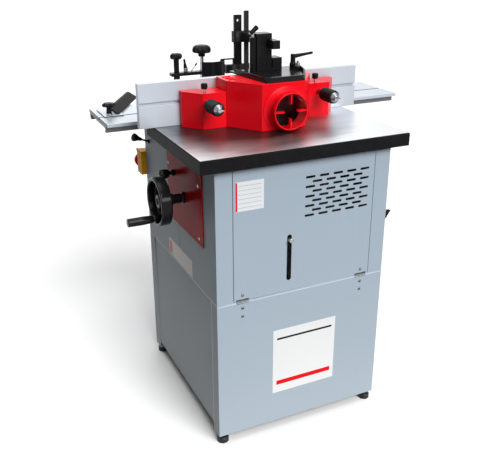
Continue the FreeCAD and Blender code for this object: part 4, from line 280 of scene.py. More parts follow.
# Hinge leaves: steel, in dull dark steel as painted shade for the shaded line of the hinge
ownFinish = {"base_hinge_leaves": "dull_steel", "door_hinge_leaves": "dull_steel"}
for name, thing in nodes.items():
    thing.data.materials.clear()
    thing.data.materials.append(finishes[ownFinish.get(name, slotOf[name])])
print("finishes made:", len(finishes))


# Mesh building, in millimetres
perMetre = 1000
cadWeld = 0.02
cornerShare = 0.45
scene = bpy.context.scene
side, rear, up = (1, 0, 0), (0, 1, 0), (0, 0, 1)
ways = (side, rear, up)
still = Matrix.Identity(4)


def span(node):
    low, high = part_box(node)
    return low * perMetre, high * perMetre


def middle(node):
    low, high = span(node)
    return (low + high) / 2


# Where a sub-part's axis starts, and its length along that axis
def rooted(node, axis):
    low, high = span(node)
    base = (low + high) / 2
    base[axis] = low[axis]
    return base, high[axis] - low[axis]


def along(origin, way):
    return Matrix.Translation(Vector(origin)) @ Vector(way).to_track_quat("Z", "Y").to_matrix().to_4x4()


# The welded mesh of a sub-part
def welded(node):
    part = bmesh.new()
    part.from_mesh(nodes[node].data)
    part.transform(Matrix.Scale(perMetre, 4))
    bmesh.ops.remove_doubles(part, verts=part.verts, dist=cadWeld)
    return part


# A line of points with its corners rounded
def rounded(points, radius, steps=4):
    line = [Vector(points[0])]
    for before, here, after in zip(points, points[1:], points[2:]):
        here = Vector(here)
        back = Vector(before) - here
        on = Vector(after) - here
        reach = min(radius, back.length * cornerShare, on.length * cornerShare)
        start = here + back.normalized() * reach
        end = here + on.normalized() * reach
        for step in range(steps + 1):
            share = step / steps
            line.append(start * (1 - share) ** 2 + here * 2 * share * (1 - share) + end * share ** 2)
    line.append(Vector(points[-1]))
    return line


# Profiles are (radius, along) points: a plain bar, a profile moved along, a profile scaled both ways
def bar(radius, low, high):
    return (0, low), (radius, low), (radius, high), (0, high)


def moved(profile, way):
    return tuple((out, on + way) for out, on in profile)


def scaled(profile, radius, length):
    return tuple((out * radius, on * length) for out, on in profile)


# A profile that ends off its axis is closed: a tube on itself, a rod by a flat end
def closed(profile):
    profile = [tuple(point) for point in profile]
    first, last = profile[0], profile[-1]
    if first[0] and last[0]:
        return profile if first == last else profile + [first]
    start = [(0, first[1])] if first[0] else []
    end = [(0, last[1])] if last[0] else []
    return start + profile + end


# Geometry Nodes group: a piece set round a ring, or on the points of a mesh
def repeatGroup(name, inputs, points):
    group = bpy.data.node_groups.new(name, "GeometryNodeTree")
    for title, kind in inputs.items():
        group.interface.new_socket(title, in_out="INPUT", socket_type="NodeSocket" + kind)
    group.interface.new_socket("Geometry", in_out="OUTPUT", socket_type="NodeSocketGeometry")
    made = Tree(group)
    source = group.nodes.new("NodeGroupInput")
    given = {title: Wire(group, source.outputs[title]) for title in inputs}
    spots, angle = points(made, given)
    turn = made.node("ShaderNodeCombineXYZ", {}, {"Z": angle})
    turn = made.node("FunctionNodeEulerToRotation", {}, {"Euler": turn})
    piece = made.node("GeometryNodeObjectInfo", {}, {"Object": given["Piece"]}, output="Geometry")
    copies = made.node("GeometryNodeInstanceOnPoints", {},
                       {"Points": spots, "Instance": piece, "Rotation": turn})
    copies = made.node("GeometryNodeRealizeInstances", {}, {"Geometry": copies})
    copies = made.node("GeometryNodeSetMaterial", {}, {"Geometry": copies, "Material": given["Finish"]})
    target = group.nodes.new("NodeGroupOutput")
    feed(group, target.inputs["Geometry"], copies)
    return group


def ringPoints(made, given):
    spots = made.node("GeometryNodeMeshCircle", {}, {"Vertices": given["Count"], "Radius": given["Radius"]})
    return spots, made.node("GeometryNodeInputIndex", {}, {}) * (2 * math.pi) / given["Count"]


def meshPoints(made, given):
    return given["Geometry"], 0.0


ringInputs = {"Piece": "Object", "Count": "Int", "Radius": "Float", "Finish": "Material"}
pointInputs = {"Geometry": "Geometry", "Piece": "Object", "Finish": "Material"}
ringGroup = repeatGroup("ring_of_copies", ringInputs, ringPoints)
pointGroup = repeatGroup("copies_on_points", pointInputs, meshPoints)


# The plain mesh of an object with its modifiers applied
def settled(thing):
    return bpy.data.meshes.new_from_object(thing.evaluated_get(bpy.context.evaluated_depsgraph_get()))


shapeLook = Look(weld=1e-4, smooth=math.radians(40), flat=math.radians(0.6), sharp=math.radians(32),
                 square=math.radians(50), narrow=0.3)
bevelLook = dict(segments=2, profile=0.5, affect="EDGES")


class Shape:
    def __init__(self, name, origin=(0, 0, 0), way=up):
        self.name = name
        self.mesh = bmesh.new()
        self.used = []
        self.at(origin, way)

    # The axis of the turned forms that follow
    def at(self, origin, way=up):
        self.place = along(origin, way)
        return self

    def index(self, finish):
        if finish not in self.used:
            self.used.append(finish)
        return self.used.index(finish)

    def join(self, part):
        held = bpy.data.meshes.new("held")
        part.to_mesh(held)
        part.free()
        self.mesh.from_mesh(held)
        bpy.data.meshes.remove(held)
        return self

    def take(self, part, finish, place=still):
        part.transform(place)
        bmesh.ops.recalc_face_normals(part, faces=part.faces)
        for face in part.faces:
            face.material_index = self.index(finish)
        return self.join(part)

    # A turned form, its corners eased; wave gives lobes round it, floor cuts off what lies below
    def spin(self, finish, profile, ease=0, steps=64, bend=4, lobes=0, wave=0.0, floor=None):
        part = bmesh.new()
        rings = []
        profile = closed(rounded(profile, ease, bend) if ease else profile)
        for radius, level in profile:
            if radius < shapeLook.weld:
                rings.append([part.verts.new((0, 0, level))])
                continue
            ring = []
            for step in range(steps):
                turn = 2 * math.pi * step / steps
                reach = radius * (1 - wave + wave * math.cos(lobes * turn))
                ring.append(part.verts.new((reach * math.cos(turn), reach * math.sin(turn), level)))
            rings.append(ring)
        for first, second in zip(rings, rings[1:]):
            for step in range(steps):
                following = (step + 1) % steps
                corners = [first[step % len(first)], first[following % len(first)],
                           second[following % len(second)], second[step % len(second)]]
                corners = list(dict.fromkeys(corners))
                if len(corners) > 2:
                    part.faces.new(corners)
        if profile[0] == profile[-1]:
            bmesh.ops.remove_doubles(part, verts=rings[0] + rings[-1], dist=shapeLook.weld)
        part.transform(self.place)
        if floor is not None:
            everything = part.verts[:] + part.edges[:] + part.faces[:]
            bmesh.ops.bisect_plane(part, geom=everything, plane_co=(0, 0, floor), plane_no=(0, 0, -1),
                                   clear_outer=True)
            bmesh.ops.holes_fill(part, edges=[line for line in part.edges if line.is_boundary])
        return self.take(part, finish)

    # A block with eased edges, turned about its middle
    def slab(self, finish, low, high, edge=0, turn=still):
        part = bmesh.new()
        low, high = Vector(low), Vector(high)
        bmesh.ops.create_cube(part, size=1)
        part.transform(Matrix.Diagonal((high - low).to_4d()))
        if edge:
            bmesh.ops.bevel(part, geom=part.edges[:], offset=edge, **bevelLook)
        return self.take(part, finish, Matrix.Translation((low + high) / 2) @ turn)

    # A standing strip along a path in plan, its ends cut square
    def strip(self, finish, path, width, low, high, edge):
        path = [Vector(point) for point in path]
        left, right = [], []
        for place, here in enumerate(path):
            before = (here - path[place - 1]).normalized() if place else (path[1] - here).normalized()
            after = (path[place + 1] - here).normalized() if place + 1 < len(path) else before
            across = (before + after).normalized()
            across = Vector((-across.y, across.x))
            stretch = width / 2 / max(shapeLook.narrow, across.dot(Vector((-before.y, before.x))))
            left.append(here + across * stretch)
            right.append(here - across * stretch)
        return self.prism(finish, left + right[::-1], low, high, edge)

    # A plan outline raised from low to high, its sharp edges eased, then set in place
    def prism(self, finish, outline, low, high, edge, place=still):
        part = bmesh.new()
        floor = part.faces.new([part.verts.new((point[0], point[1], low)) for point in outline])
        raised = bmesh.ops.extrude_face_region(part, geom=[floor])["geom"]
        bmesh.ops.translate(part, verts=[item for item in raised if isinstance(item, bmesh.types.BMVert)],
                            vec=(0, 0, high - low))
        sharp = [line for line in part.edges if line.calc_face_angle(0) > shapeLook.square]
        bmesh.ops.bevel(part, geom=sharp, offset=edge, clamp_overlap=True, **bevelLook)
        return self.take(part, finish, place)

    # A copy of a sub-part with eased edges; pick names the finish of a face from its middle and its normal
    def copied(self, node, edge, pick):
        part = welded(node)
        if edge:
            bmesh.ops.dissolve_limit(part, angle_limit=shapeLook.flat, verts=part.verts, edges=part.edges)
            sharp = [line for line in part.edges
                     if len(line.link_faces) == 2 and line.calc_face_angle(0) > shapeLook.sharp]
            bmesh.ops.bevel(part, geom=sharp, offset=edge, clamp_overlap=True, **bevelLook)
        for face in part.faces:
            face.material_index = self.index(pick(face.calc_center_median(), face.normal))
        return self.join(part)

    # Copies of another shape by a Geometry Nodes group, then set in place
    def repeated(self, group, seed, finish, place, spots=(), **values):
        piece = seed.plain()
        data = bpy.data.meshes.new("spots")
        data.from_pydata([tuple(spot) for spot in spots], [], [])
        carrier = bpy.data.objects.new("carrier", data)
        scene.collection.objects.link(carrier)
        modifier = carrier.modifiers.new("repeat", "NODES")
        modifier.node_group = group
        values = values | {"Piece": piece, "Finish": finishes[finish]}
        for item in group.interface.items_tree:
            if item.name in values:
                modifier[item.identifier] = values[item.name]
        grown = settled(carrier)
        carrier.modifiers.clear()
        part = bmesh.new()
        part.from_mesh(grown)
        for thing in (carrier, piece):
            bpy.data.objects.remove(thing)
        return self.take(part, finish, place)

    # The bare object of a shape that is only a seed for copies
    def plain(self):
        data = bpy.data.meshes.new(self.name)
        self.mesh.to_mesh(data)
        self.mesh.free()
        thing = bpy.data.objects.new(self.name, data)
        scene.collection.objects.link(thing)
        return thing

    # The finished piece, in metres, with even shading over its flat faces
    def done(self, body, slot, *stands):
        self.mesh.transform(Matrix.Scale(1 / perMetre, 4))
        thing = self.plain()
        for finish in self.used:
            thing.data.materials.append(finishes[finish])
        thing.data.shade_smooth()
        thing.data.set_sharp_from_angle(angle=shapeLook.smooth)
        weighted = thing.modifiers.new("weighted", "WEIGHTED_NORMAL")
        weighted.keep_sharp = True
        thing.data = settled(thing)
        thing.modifiers.clear()
        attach(thing, body)
        if stands:
            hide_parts(*stands)

    # The finished piece in the stead of a sub-part
    def stands(self, node):
        self.done(bodyOf[node], slotOf[node], node)


def only(finish):
    return lambda place, normal: finish


# A sub-part with eased edges that keeps its own shape
def eased(node, edge, pick=None):
    Shape(node + "_eased").copied(node, edge, pick or only(slotOf[node])).stands(node)


# Sheet metal and castings with eased edges
easedEdges = {
    "cabinet_shell": 0.6, "base_panels": 0, "cutter_hood": 2.2, "fence_boxes": 2.0,
    "pressure_post": 1.2, "pressure_bar": 1.0, "pressure_uprights": 0.8, "hold_down_post": 1.2,
    "slide_brackets": 0.8, "slide_rail": 0.6, "switch_box": 1.8, "switch_flap": 1.6, "lift_carriage": 1.6,
    "lift_bracket": 1.4, "left_fence_carrier": 0.8, "right_fence_carrier": 0.8,
}
for node, edge in easedEdges.items():
    eased(node, edge)
# The side plate in its red made darker as painted shade; the hood's plate in gloss black
for node, edge, finish in (("side_plate", 0.7, "plate_red"), ("hood_top_plate", 0.8, "black_gloss")):
    eased(node, edge, only(finish))

# Door: painted shade, near black, on the cut edges of its louvres and its slot
doorLook = Look(edge=0, inset=30, flat=0.7)
doorLow, doorHigh = span("rear_door")


def doorFinish(place, normal):
    inset = doorLook.inset
    inside = all(doorLow[axis] + inset < place[axis] < doorHigh[axis] - inset for axis in (0, 2))
    return "dark_recess" if inside and abs(normal.y) < doorLook.flat else "cabinet_paint"


eased("rear_door", doorLook.edge, doorFinish)

# Dull screw heads on the rear, bright ones elsewhere
look = Look(edge=0.3, rear=270)
eased("cabinet_fasteners", look.edge, lambda place, normal:
      "dull_steel" if place.y > look.rear else "zinc_steel")

# Ground top and black painted edge of the table
look = Look(edge=0.9, skim=12, level=0.95)
tableTop = span("table")[1].z - look.skim
eased("table", look.edge, lambda place, normal:
      "cast_table" if normal.z > look.level and place.z > tableTop else "edge_black")

# Aluminium: painted shade darkening the inside of the fence groove, dull ends and rear lip on the sliding
# table
look = Look(edge=0.7, groove=3, facing=0.5)
for node in ("left_fence_board", "right_fence_board"):
    grooveFrom = span(node)[1].y - look.groove
    eased(node, look.edge, lambda place, normal:
          "groove_metal" if place.y < grooveFrom and normal.y > look.facing else "anodised")
slideLook = Look(edge=0.6, lip=8, facing=0.9)
lipRear = span("sliding_table")[1].y - slideLook.lip


def slideFinish(place, normal):
    onLip = normal.y > slideLook.facing and place.y < lipRear
    return "dull_steel" if onLip or abs(normal.x) > slideLook.facing else "anodised"


eased("sliding_table", slideLook.edge, slideFinish)

# Aluminium mitre plate under a black stop bar
look = Look(edge=0.8, plate=4.2, upright=0.1)
mitreTop = span("mitre_plate")[0].z + look.plate
eased("mitre_plate", look.edge, lambda place, normal:
      "anodised" if place.z < mitreTop and abs(normal.z) > look.upright else "edge_black")

# Rubber feet under plated studs
look = Look(edge=1.0, rubberTop=29)
eased("levelling_feet", look.edge, lambda place, normal:
      "foot_rubber" if place.z < look.rubberTop else "zinc_steel")
print("eased pieces done")


# Black plate on the hood: an upstanding rim round its rear and sides
look = Look(width=5, sink=1, rise=10, edge=1.4, inset=3, corner=16, centre=(-50, 30),
            path=((58, -40), (38, 121), (-78, 121), (-123, 44), (-141, -12), (-141, -24)))
plateTop = span("hood_top_plate")[1].z
path = []
for point in look.path:
    inward = Vector(look.centre) - Vector(point)
    path.append(Vector(point) + inward.normalized() * look.inset)
Shape("hood_plate_rim").strip("black_gloss", rounded(path, look.corner), look.width, plateTop - look.sink,
                              plateTop + look.rise, look.edge).done("cabinet", "black_paint")

# Pressed lips beside the slots in the hood's top
look = Look(x=(84, 109), y=(-16, 6, 28), width=4, sink=1, rise=2.6, edge=1.2)
hoodTop = span("cutter_hood")[1].z
lips = Shape("hood_slot_lips")
for y in look.y:
    lips.slab("signal_red", (look.x[0], y, hoodTop - look.sink),
              (look.x[1], y + look.width, hoodTop + look.rise), look.edge)
lips.done("cabinet", "signal_red")

# Stud, washer and nut that hold the black plate beside its lever
look = Look(spot=(-129, -12), washer=dict(profile=bar(10, -0.5, 9), ease=1, steps=32),
            nut=dict(profile=bar(8.5, 8.5, 17.5), steps=6),
            stud=dict(profile=bar(4, 8.5, 24), ease=0.8, steps=28))
fixing = Shape("plate_stud", look.spot + (plateTop,))
fixing.spin("black_paint", **look.washer)
fixing.spin("zinc_steel", **look.nut)
fixing.spin("zinc_steel", **look.stud)
fixing.done("cabinet", "black_paint")

# Dust port: a trumpet that flares on to the hood, a straight collar and four ribs in its mouth
look = Look(radius=51, wall=4, flare=66, flange=2, flareDepth=19, collarFrom=20, lip=1.5, steps=96, curve=8,
            ribs=4, rib=5, ribIn=20, ribDepth=12, ribSet=1, ribEdge=0.8)
low, high = span("dust_port")
hub = Vector(((low.x + high.x) / 2, low.y, high.z - look.flare))
length = high.y - low.y
bore = look.radius - look.wall
profile = [(bore, 0), (look.flare, 0)]
for step in range(look.curve + 1):
    turn = math.pi / 2 * step / look.curve
    profile.append((look.flare - (look.flare - look.radius) * math.sin(turn),
                    look.flange + (look.flareDepth - look.flange) * (1 - math.cos(turn))))
collar = ((look.radius, look.collarFrom), (look.radius, length), (bore, length), (bore, 0))
profile += rounded(collar, look.lip)
port = Shape("port_trumpet", hub, rear).spin("signal_red", profile, steps=look.steps, floor=low.z)
reach = look.radius - look.wall / 2
half = Vector((reach - look.ribIn, look.ribDepth, look.rib)) / 2
for number in range(look.ribs):
    way = Matrix.Rotation(2 * math.pi * number / look.ribs, 4, "Y")
    spot = hub + way @ Vector(((reach + look.ribIn) / 2, 0, 0))
    spot.y += length - look.ribSet - look.ribDepth / 2
    port.slab("signal_red", spot - half, spot + half, look.ribEdge, way)
port.done("cabinet", "signal_red", "dust_port")
print("hood dressed")


# Lobed knobs on turned stems; the neck is measured from the cap's foot
starLook = Look(steps=96, ease=3.0, boltEase=0.6,
                cap=((0, 0), (0.55, 0), (0.9, 0.12), (1, 0.42), (0.98, 0.66), (0.78, 0.94), (0.3, 1), (0, 1)))
knobLooks = {
    "mitre_knob": Look(name="mitre_star_knob", axis=2, finish="black_plastic", radius=20, depth=13, lobes=6,
                       wave=0.11, bolt=((0, 0), (3.5, 0), (3.5, 14.3), (9, 14.3), (9, 19.3), (0, 19.3)),
                       stem=((0, 19.3), (8.5, 19.3), (7.5, 27)), neck=((7, 1), (0, 1)), ease=1.5),
    "hold_down_knob": Look(name="hold_star_knob", axis=2, finish="black_plastic", radius=20, depth=19,
                           lobes=6, wave=0.11, bolt=(), stem=((0, 0), (4, 0), (4, 5), (8.5, 5)),
                           neck=((8.5, 2), (0, 2)), ease=1.0),
    "height_lock_knob": Look(name="lock_star_knob", axis=0, finish="black_gloss", radius=14.5, depth=31,
                             lobes=5, wave=0.12, bolt=(), neck=((5, -3), (8, 2), (0, 2)), ease=1.0,
                             stem=((0, 0), (5, 0), (5, 33.3), (9, 33.3), (9, 41.3), (6, 44.3))),
}
for node, look in knobLooks.items():
    base, length = rooted(node, look.axis)
    foot = length - look.depth
    knob = Shape(look.name, base, ways[look.axis])
    cap = moved(scaled(starLook.cap, look.radius, look.depth), foot)
    knob.spin(look.finish, cap, starLook.ease, starLook.steps, lobes=look.lobes, wave=look.wave)
    if look.bolt:
        knob.spin("zinc_steel", look.bolt, starLook.boltEase)
    knob.spin(look.finish, look.stem + moved(look.neck, foot), look.ease)
    knob.stands(node)

# Screw of the hold-down: bright rod, black pad, large lobed ball knob on a collar
look = Look(pad=((0, 0), (18, 0), (18, 10), (10, 10), (0, 10)), rod=7, rodLow=9, rodIn=6, ballHigh=36,
            collar=((7, 0), (11, 0), (11, 9), (7, 12)), ease=1.5, lobes=8, wave=0.045, steps=96, ballEase=6,
            ball=((0, 11), (21.7, 10), (30.07, 14), (31, 20), (28.83, 28), (19.22, 34.5), (0, 36)))
base, length = rooted("hold_down_screw", 2)
foot = length - look.ballHigh
screw = Shape("hold_screw_dressed", base)
screw.spin("black_plastic", look.pad, look.ease)
screw.spin("bright_steel", bar(look.rod, look.rodLow, foot + look.rodIn))
screw.spin("black_plastic", moved(look.collar, foot), look.ease)
screw.spin("black_plastic", moved(look.ball, foot), look.ballEase, look.steps, lobes=look.lobes,
           wave=look.wave)
screw.stands("hold_down_screw")
print("knobs done")


# Handwheel: dished, broad rim, black; a boss with a plated bolt for the grip, painted shade in the hub's
# recess
look = Look(rim=dict(profile=((9.05, 0), (22, 0), (25, 16), (67, 16), (67, 47), (58, 47), (55, 24), (23, 24),
                              (19, 38), (9.05, 38)), ease=4, steps=112, bend=5),
            boss=dict(profile=((0, 19), (12, 19), (9, 47), (0, 47)), ease=2, steps=40),
            recess=dict(profile=((0, 36.4), (10.05, 36.4), (10.05, 39), (0, 40)), ease=1, steps=40),
            bolt=4, boltLow=46, boltSteps=32)
base, width = rooted("handwheel", 0)
grip = middle("handwheel_grip")
wheel = Shape("handwheel_dressed", base, side).spin("black_gloss", **look.rim)
wheel.at((base.x, grip.y, grip.z), side).spin("black_gloss", **look.boss)
wheel.spin("zinc_steel", bar(look.bolt, look.boltLow, width), steps=look.boltSteps)
wheel.at(base, side).spin("dark_recess", **look.recess)
wheel.stands("handwheel")

look = Look(bore=4.05, end=2, waist=9.5, belly=((10.9, 0.14), (12, 0.42), (11.6, 1), (0, 1)),
            turned=dict(ease=3, steps=56, bend=5))
base, length = rooted("handwheel_grip", 0)
outline = ((look.bore, length - look.end), (look.bore, 0), (look.waist, 0)) + scaled(look.belly, 1, length)
Shape("grip_dressed", base, side).spin("black_gloss", outline, **look.turned).stands("handwheel_grip")

look = Look(seat=((9.1, 0), (12.6, 0), (12.6, 21), (15.5, 21), (15.5, 27), (13, 29)),
            end=((13, -6), (15.5, -5), (15.5, 0), (9.1, 0)), turned=dict(ease=1, steps=72))
base, length = rooted("shaft_bush", 0)
bush = Shape("bush_dressed", base, side)
bush.spin("black_gloss", look.seat + moved(look.end, length), **look.turned)
bush.stands("shaft_bush")
print("handwheel done")


# Fence adjusters, measured from the box's face: bright collar, black ribbed sleeve, bright end with a tab
look = Look(face=35.8, screw=5, screwSteps=40,
            collar=dict(profile=((0, 0), (8, 0), (8, 19), (7, 23), (0, 23)), ease=1, steps=48),
            sleeve=dict(profile=((0, 22), (11, 22), (14, 24), (18.2, 32), (18.2, 84), (15.2, 87), (0, 87)),
                        ease=2, steps=88),
            cap=dict(profile=((0, 86), (14.5, 86), (14.5, 89), (6, 99), (0, 99)), ease=1.2, steps=56),
            tabFrom=90, tab=(9, 2), tabEdge=1.2, ribs=44, ribsOut=18.2, ribFrom=35, ribLow=(-1.0, -0.7, 0),
            ribHigh=(0.7, 0.7, 44), ribEdge=0.3)
for node in ("left_adjuster", "right_adjuster"):
    base, length = rooted(node, 1)
    spot = Vector((base.x, look.face, base.z))
    wide, thick = look.tab
    made = Shape(node + "_dressed", spot, rear)
    made.spin("zinc_steel", bar(look.screw, base.y - look.face, 0), steps=look.screwSteps)
    made.spin("chrome_end", **look.collar)
    made.spin("black_plastic", **look.sleeve)
    made.spin("chrome_end", **look.cap)
    made.slab("chrome_end", spot + Vector((-wide, look.tabFrom, -thick)),
              base + Vector((wide, length, thick)), look.tabEdge)
    rib = Shape("rib").slab("black_plastic", look.ribLow, look.ribHigh, look.ribEdge)
    made.repeated(ringGroup, rib, "black_plastic", along(spot + Vector((0, look.ribFrom, 0)), rear),
                  Count=look.ribs, Radius=look.ribsOut)
    made.stands(node)

# Clamp screws on the boxes: plated stem, ribbed black head
look = Look(stem=3, stemIn=1, stemSteps=32, headHigh=16, headTurned=dict(ease=1.2, steps=48),
            head=((0, 0), (7, 0), (8.6, 2), (8.6, 14), (6.6, 16), (0, 15.6)), ribs=26, ribsOut=8.6,
            ribFrom=2.5, ribLow=(-0.5, -0.5, 0), ribHigh=(0.4, 0.5, 11), ribEdge=0.2)
for node in ("left_clamp_knob", "right_clamp_knob"):
    base, length = rooted(node, 2)
    foot = length - look.headHigh
    made = Shape(node + "_dressed", base)
    made.spin("zinc_steel", bar(look.stem, 0, foot + look.stemIn), steps=look.stemSteps)
    made.spin("black_plastic", moved(look.head, foot), **look.headTurned)
    rib = Shape("rib").slab("black_plastic", look.ribLow, look.ribHigh, look.ribEdge)
    spot = base + Vector((0, 0, foot + look.ribFrom))
    made.repeated(ringGroup, rib, "black_plastic", Matrix.Translation(spot), Count=look.ribs,
                  Radius=look.ribsOut)
    made.stands(node)
print("fence fittings done")


# Clamp levers: a stepped hub and a tapered arm with a round end
leverLooks = {
    "plate_lever": Look(hub=((5, 0), (5, 5), (10, 5), (10, 16), (7.5, 22), (7.5, 44)),
                        hubFinish="black_plastic", axis=(-128, -40), arm=(0, 36.7), lean=-84, long=66, root=6,
                        tip=4.4),
    "post_lever": Look(hub=((3, 0), (3, 9), (4.6, 9), (4.6, 25)), hubFinish="zinc_steel", axis=(1, -40),
                       arm=(6, 21.7), lean=-50, long=25, root=6.2, tip=7.4),
    "hold_down_lever": Look(hub=((4, 0), (4, 5), (7, 5), (7, 17)), hubFinish="zinc_steel", axis=(113.5, -290),
                            arm=(0, 10.7), lean=7, long=34, root=6.5, tip=3.6),
}
armLook = Look(back=((0, -0.6), (1, -0.4)), waist=0.15, end=((0.92, 0.7), (1, 0.9), (0.7, 1), (0, 1)),
               hubTurned=dict(ease=1.2, steps=44), turned=dict(ease=3, steps=40))
for node, look in leverLooks.items():
    base = Vector(look.axis + (span(node)[0].z,))
    tilt = math.radians(look.lean)
    made = Shape(node + "_dressed", base)
    made.spin(look.hubFinish, ((0, 0),) + look.hub + ((0, look.hub[-1][1]),), **armLook.hubTurned)
    outline = scaled(armLook.back, look.root, look.root) + ((look.root, look.long * armLook.waist),)
    outline += scaled(armLook.end, look.tip, look.long)
    made.at(base + Vector((look.arm[0], 0, look.arm[1])), (math.sin(tilt), 0, math.cos(tilt)))
    made.spin("black_plastic", outline, **armLook.turned)
    made.stands(node)

# Slide lock on the handwheel side: stem with a collar, thin tilted rod, cone-shaped knob
look = Look(collar=6, armFrom=33.3, tilt=math.radians(22.4),
            stem=dict(profile=((0, 0), (3, 0), (3, 30.3), (6, 30.3), (6, 36.3), (0, 36.3)), ease=1, steps=40),
            arm=dict(profile=((0, 0), (3, 0), (3, 23), (5, 23), (6, 31), (13, 46), (12, 52), (5, 55),
                              (0, 55)), ease=3, steps=48, bend=5))
base = rooted("slide_lock_lever", 0)[0]
base.z = span("slide_lock_lever")[0].z + look.collar
made = Shape("slide_lock_dressed", base, side).spin("black_gloss", **look.stem)
made.at(base + Vector((look.armFrom, 0, 0)), (math.cos(look.tilt), 0, math.sin(look.tilt)))
made.spin("black_gloss", **look.arm).stands("slide_lock_lever")

# Side latch: a wedge-shaped wing on a collar, its stem and tongue inside the cabinet
look = Look(wall=260, radius=10, collar=((0, 3), (9, 3), (9, 0.3), (4, 0.3)), stem=4,
            turned=dict(ease=0.6, steps=40), halfWing=4.5, sink=1, edge=1.0,
            wing=((0, 8.5), (23, 8.5), (24.5, 6.5), (15, -7), (11, -15), (0, -15)),
            tongueLow=(2.8, -4, -22), tongueHigh=(5.8, 4, 0), tongueEdge=0.4)
low, high = span("side_latch")
pivot = Vector((-look.wall, (low.y + high.y) / 2, high.z - look.radius))
inside = pivot.x - high.x
outward = Matrix(((-1, 0, 0, 0), (0, 0, 1, 0), (0, 1, 0, 0), (0, 0, 0, 1)))
made = Shape("side_latch_dressed", pivot, (-1, 0, 0))
made.spin("black_plastic", look.collar + ((look.stem, inside), (0, inside)), **look.turned)
made.prism("black_plastic", look.wing, -look.halfWing, look.halfWing, look.edge,
           Matrix.Translation(pivot - Vector((look.sink, 0, 0))) @ outward)
made.slab("zinc_steel", pivot + Vector(look.tongueLow), pivot + Vector(look.tongueHigh), look.tongueEdge)
made.stands("side_latch")

# Thin gauge rod with a black tip on the hold-down arm
look = Look(foot=(98, -290, 958), head=(76, -290, 984), radius=1.6, steps=20, tip=2.6, tipLong=9,
            tipTurned=dict(ease=1, steps=24))
way = Vector(look.head) - Vector(look.foot)
made = Shape("gauge_rod", look.foot, way)
made.spin("zinc_steel", bar(look.radius, 0, way.length), steps=look.steps)
made.spin("black_plastic", bar(look.tip, way.length - look.tipLong, way.length), **look.tipTurned)
made.done("slide", slotOf["hold_down_post"])
print("levers done")


# Mushroom of the stop switch
look = Look(proud=13, stem=((0, 0), (7, 0)), head=((7, -17), (23, -17), (23, -4), (13.8, -0.6), (0, 0)),
            turned=dict(ease=3, bend=5))
base, length = rooted("stop_button", 1)
base.y += length
mushroom = Shape("stop_mushroom", base, (0, -1, 0))
mushroom.spin("stop_red", look.stem + moved(look.head, length + look.proud), **look.turned)
mushroom.stands("stop_button")


# Separate solids of a sub-part, each as its lowest and highest corner
def islands(node):
    part = welded(node)
    left = dict.fromkeys(part.verts)
    found = []
    while left:
        group = [left.popitem()[0]]
        for vert in group:
            for line in vert.link_edges:
                other = line.other_vert(vert)
                if other in left:
                    del left[other]
                    group.append(other)
        corners = [[vert.co[axis] for vert in group] for axis in range(3)]
        found.append((Vector(min(row) for row in corners), Vector(max(row) for row in corners)))
    part.free()
    return found


# Near-black hexagon of painted shade for the socket in each screw head, facing the rear or the handwheel side
look = Look(socket=dict(profile=bar(2.0, -0.8, 0.12), steps=6), largest=24)
for name, axis in (("rear", 1), ("side", 0)):
    spots = []
    for low, high in islands("cabinet_fasteners"):
        size = high - low
        if size.length < look.largest and size[axis] == min(size) and high[axis] > 0:
            spot = (low + high) / 2
            spot[axis] = high[axis]
            spots.append(spot)
    seed = Shape("socket", way=ways[axis]).spin("dark_recess", **look.socket)
    sockets = Shape(name + "_screw_sockets").repeated(pointGroup, seed, "dark_recess", still, spots)
    sockets.done("cabinet", slotOf["cabinet_fasteners"])
    print("sockets", name, len(spots))

# Pressure shoe: a curved spring plate on the barrel of its pin
look = Look(bend=62, plate=4, steps=14, edge=0.8, pin=(26, -206), barrel=7, bore=4.1, barrelSteps=40, stem=4,
            stemFrom=5, stemEnd=9, stemInset=6)
low, high = span("pressure_shoe")
tall = high.z - low.z
halfSpan = math.asin((high.x - low.x) / 2 / look.bend)
hub = Vector(((low.x + high.x) / 2, high.y - look.bend))
path = []
for step in range(look.steps + 1):
    turn = math.pi / 2 + halfSpan * (1 - 2 * step / look.steps)
    path.append(hub + Vector((math.cos(turn), math.sin(turn))) * (look.bend - look.plate / 2))
shoe = Shape("pressure_shoe_curved", look.pin + (low.z,))
shoe.strip("black_gloss", path, look.plate, low.z, high.z, look.edge)
shoe.spin("black_paint", ((look.bore, 0), (look.barrel, 0), (look.barrel, tall), (look.bore, tall)),
          steps=look.barrelSteps)
shoe.slab("black_paint", (look.pin[0] - look.stem, look.pin[1] + look.stemFrom, low.z + look.stemInset),
          (look.pin[0] + look.stem, high.y - look.stemEnd, high.z - look.stemInset), look.edge)
shoe.stands("pressure_shoe")

# Cooling fins round the motor
look = Look(count=30, radius=70, finLow=(-2, -1.2, 0), finHigh=(4.5, 1.2, 82), edge=0.5, rise=36)
axis = middle("motor_pulley")
axis.z = span("motor_body")[0].z + look.rise
fin = Shape("fin").slab("motor_paint", look.finLow, look.finHigh, look.edge)
fins = Shape("motor_fins").repeated(ringGroup, fin, "motor_paint", Matrix.Translation(axis), Count=look.count,
                                    Radius=look.radius)
fins.done("carriage", slotOf["motor_body"])

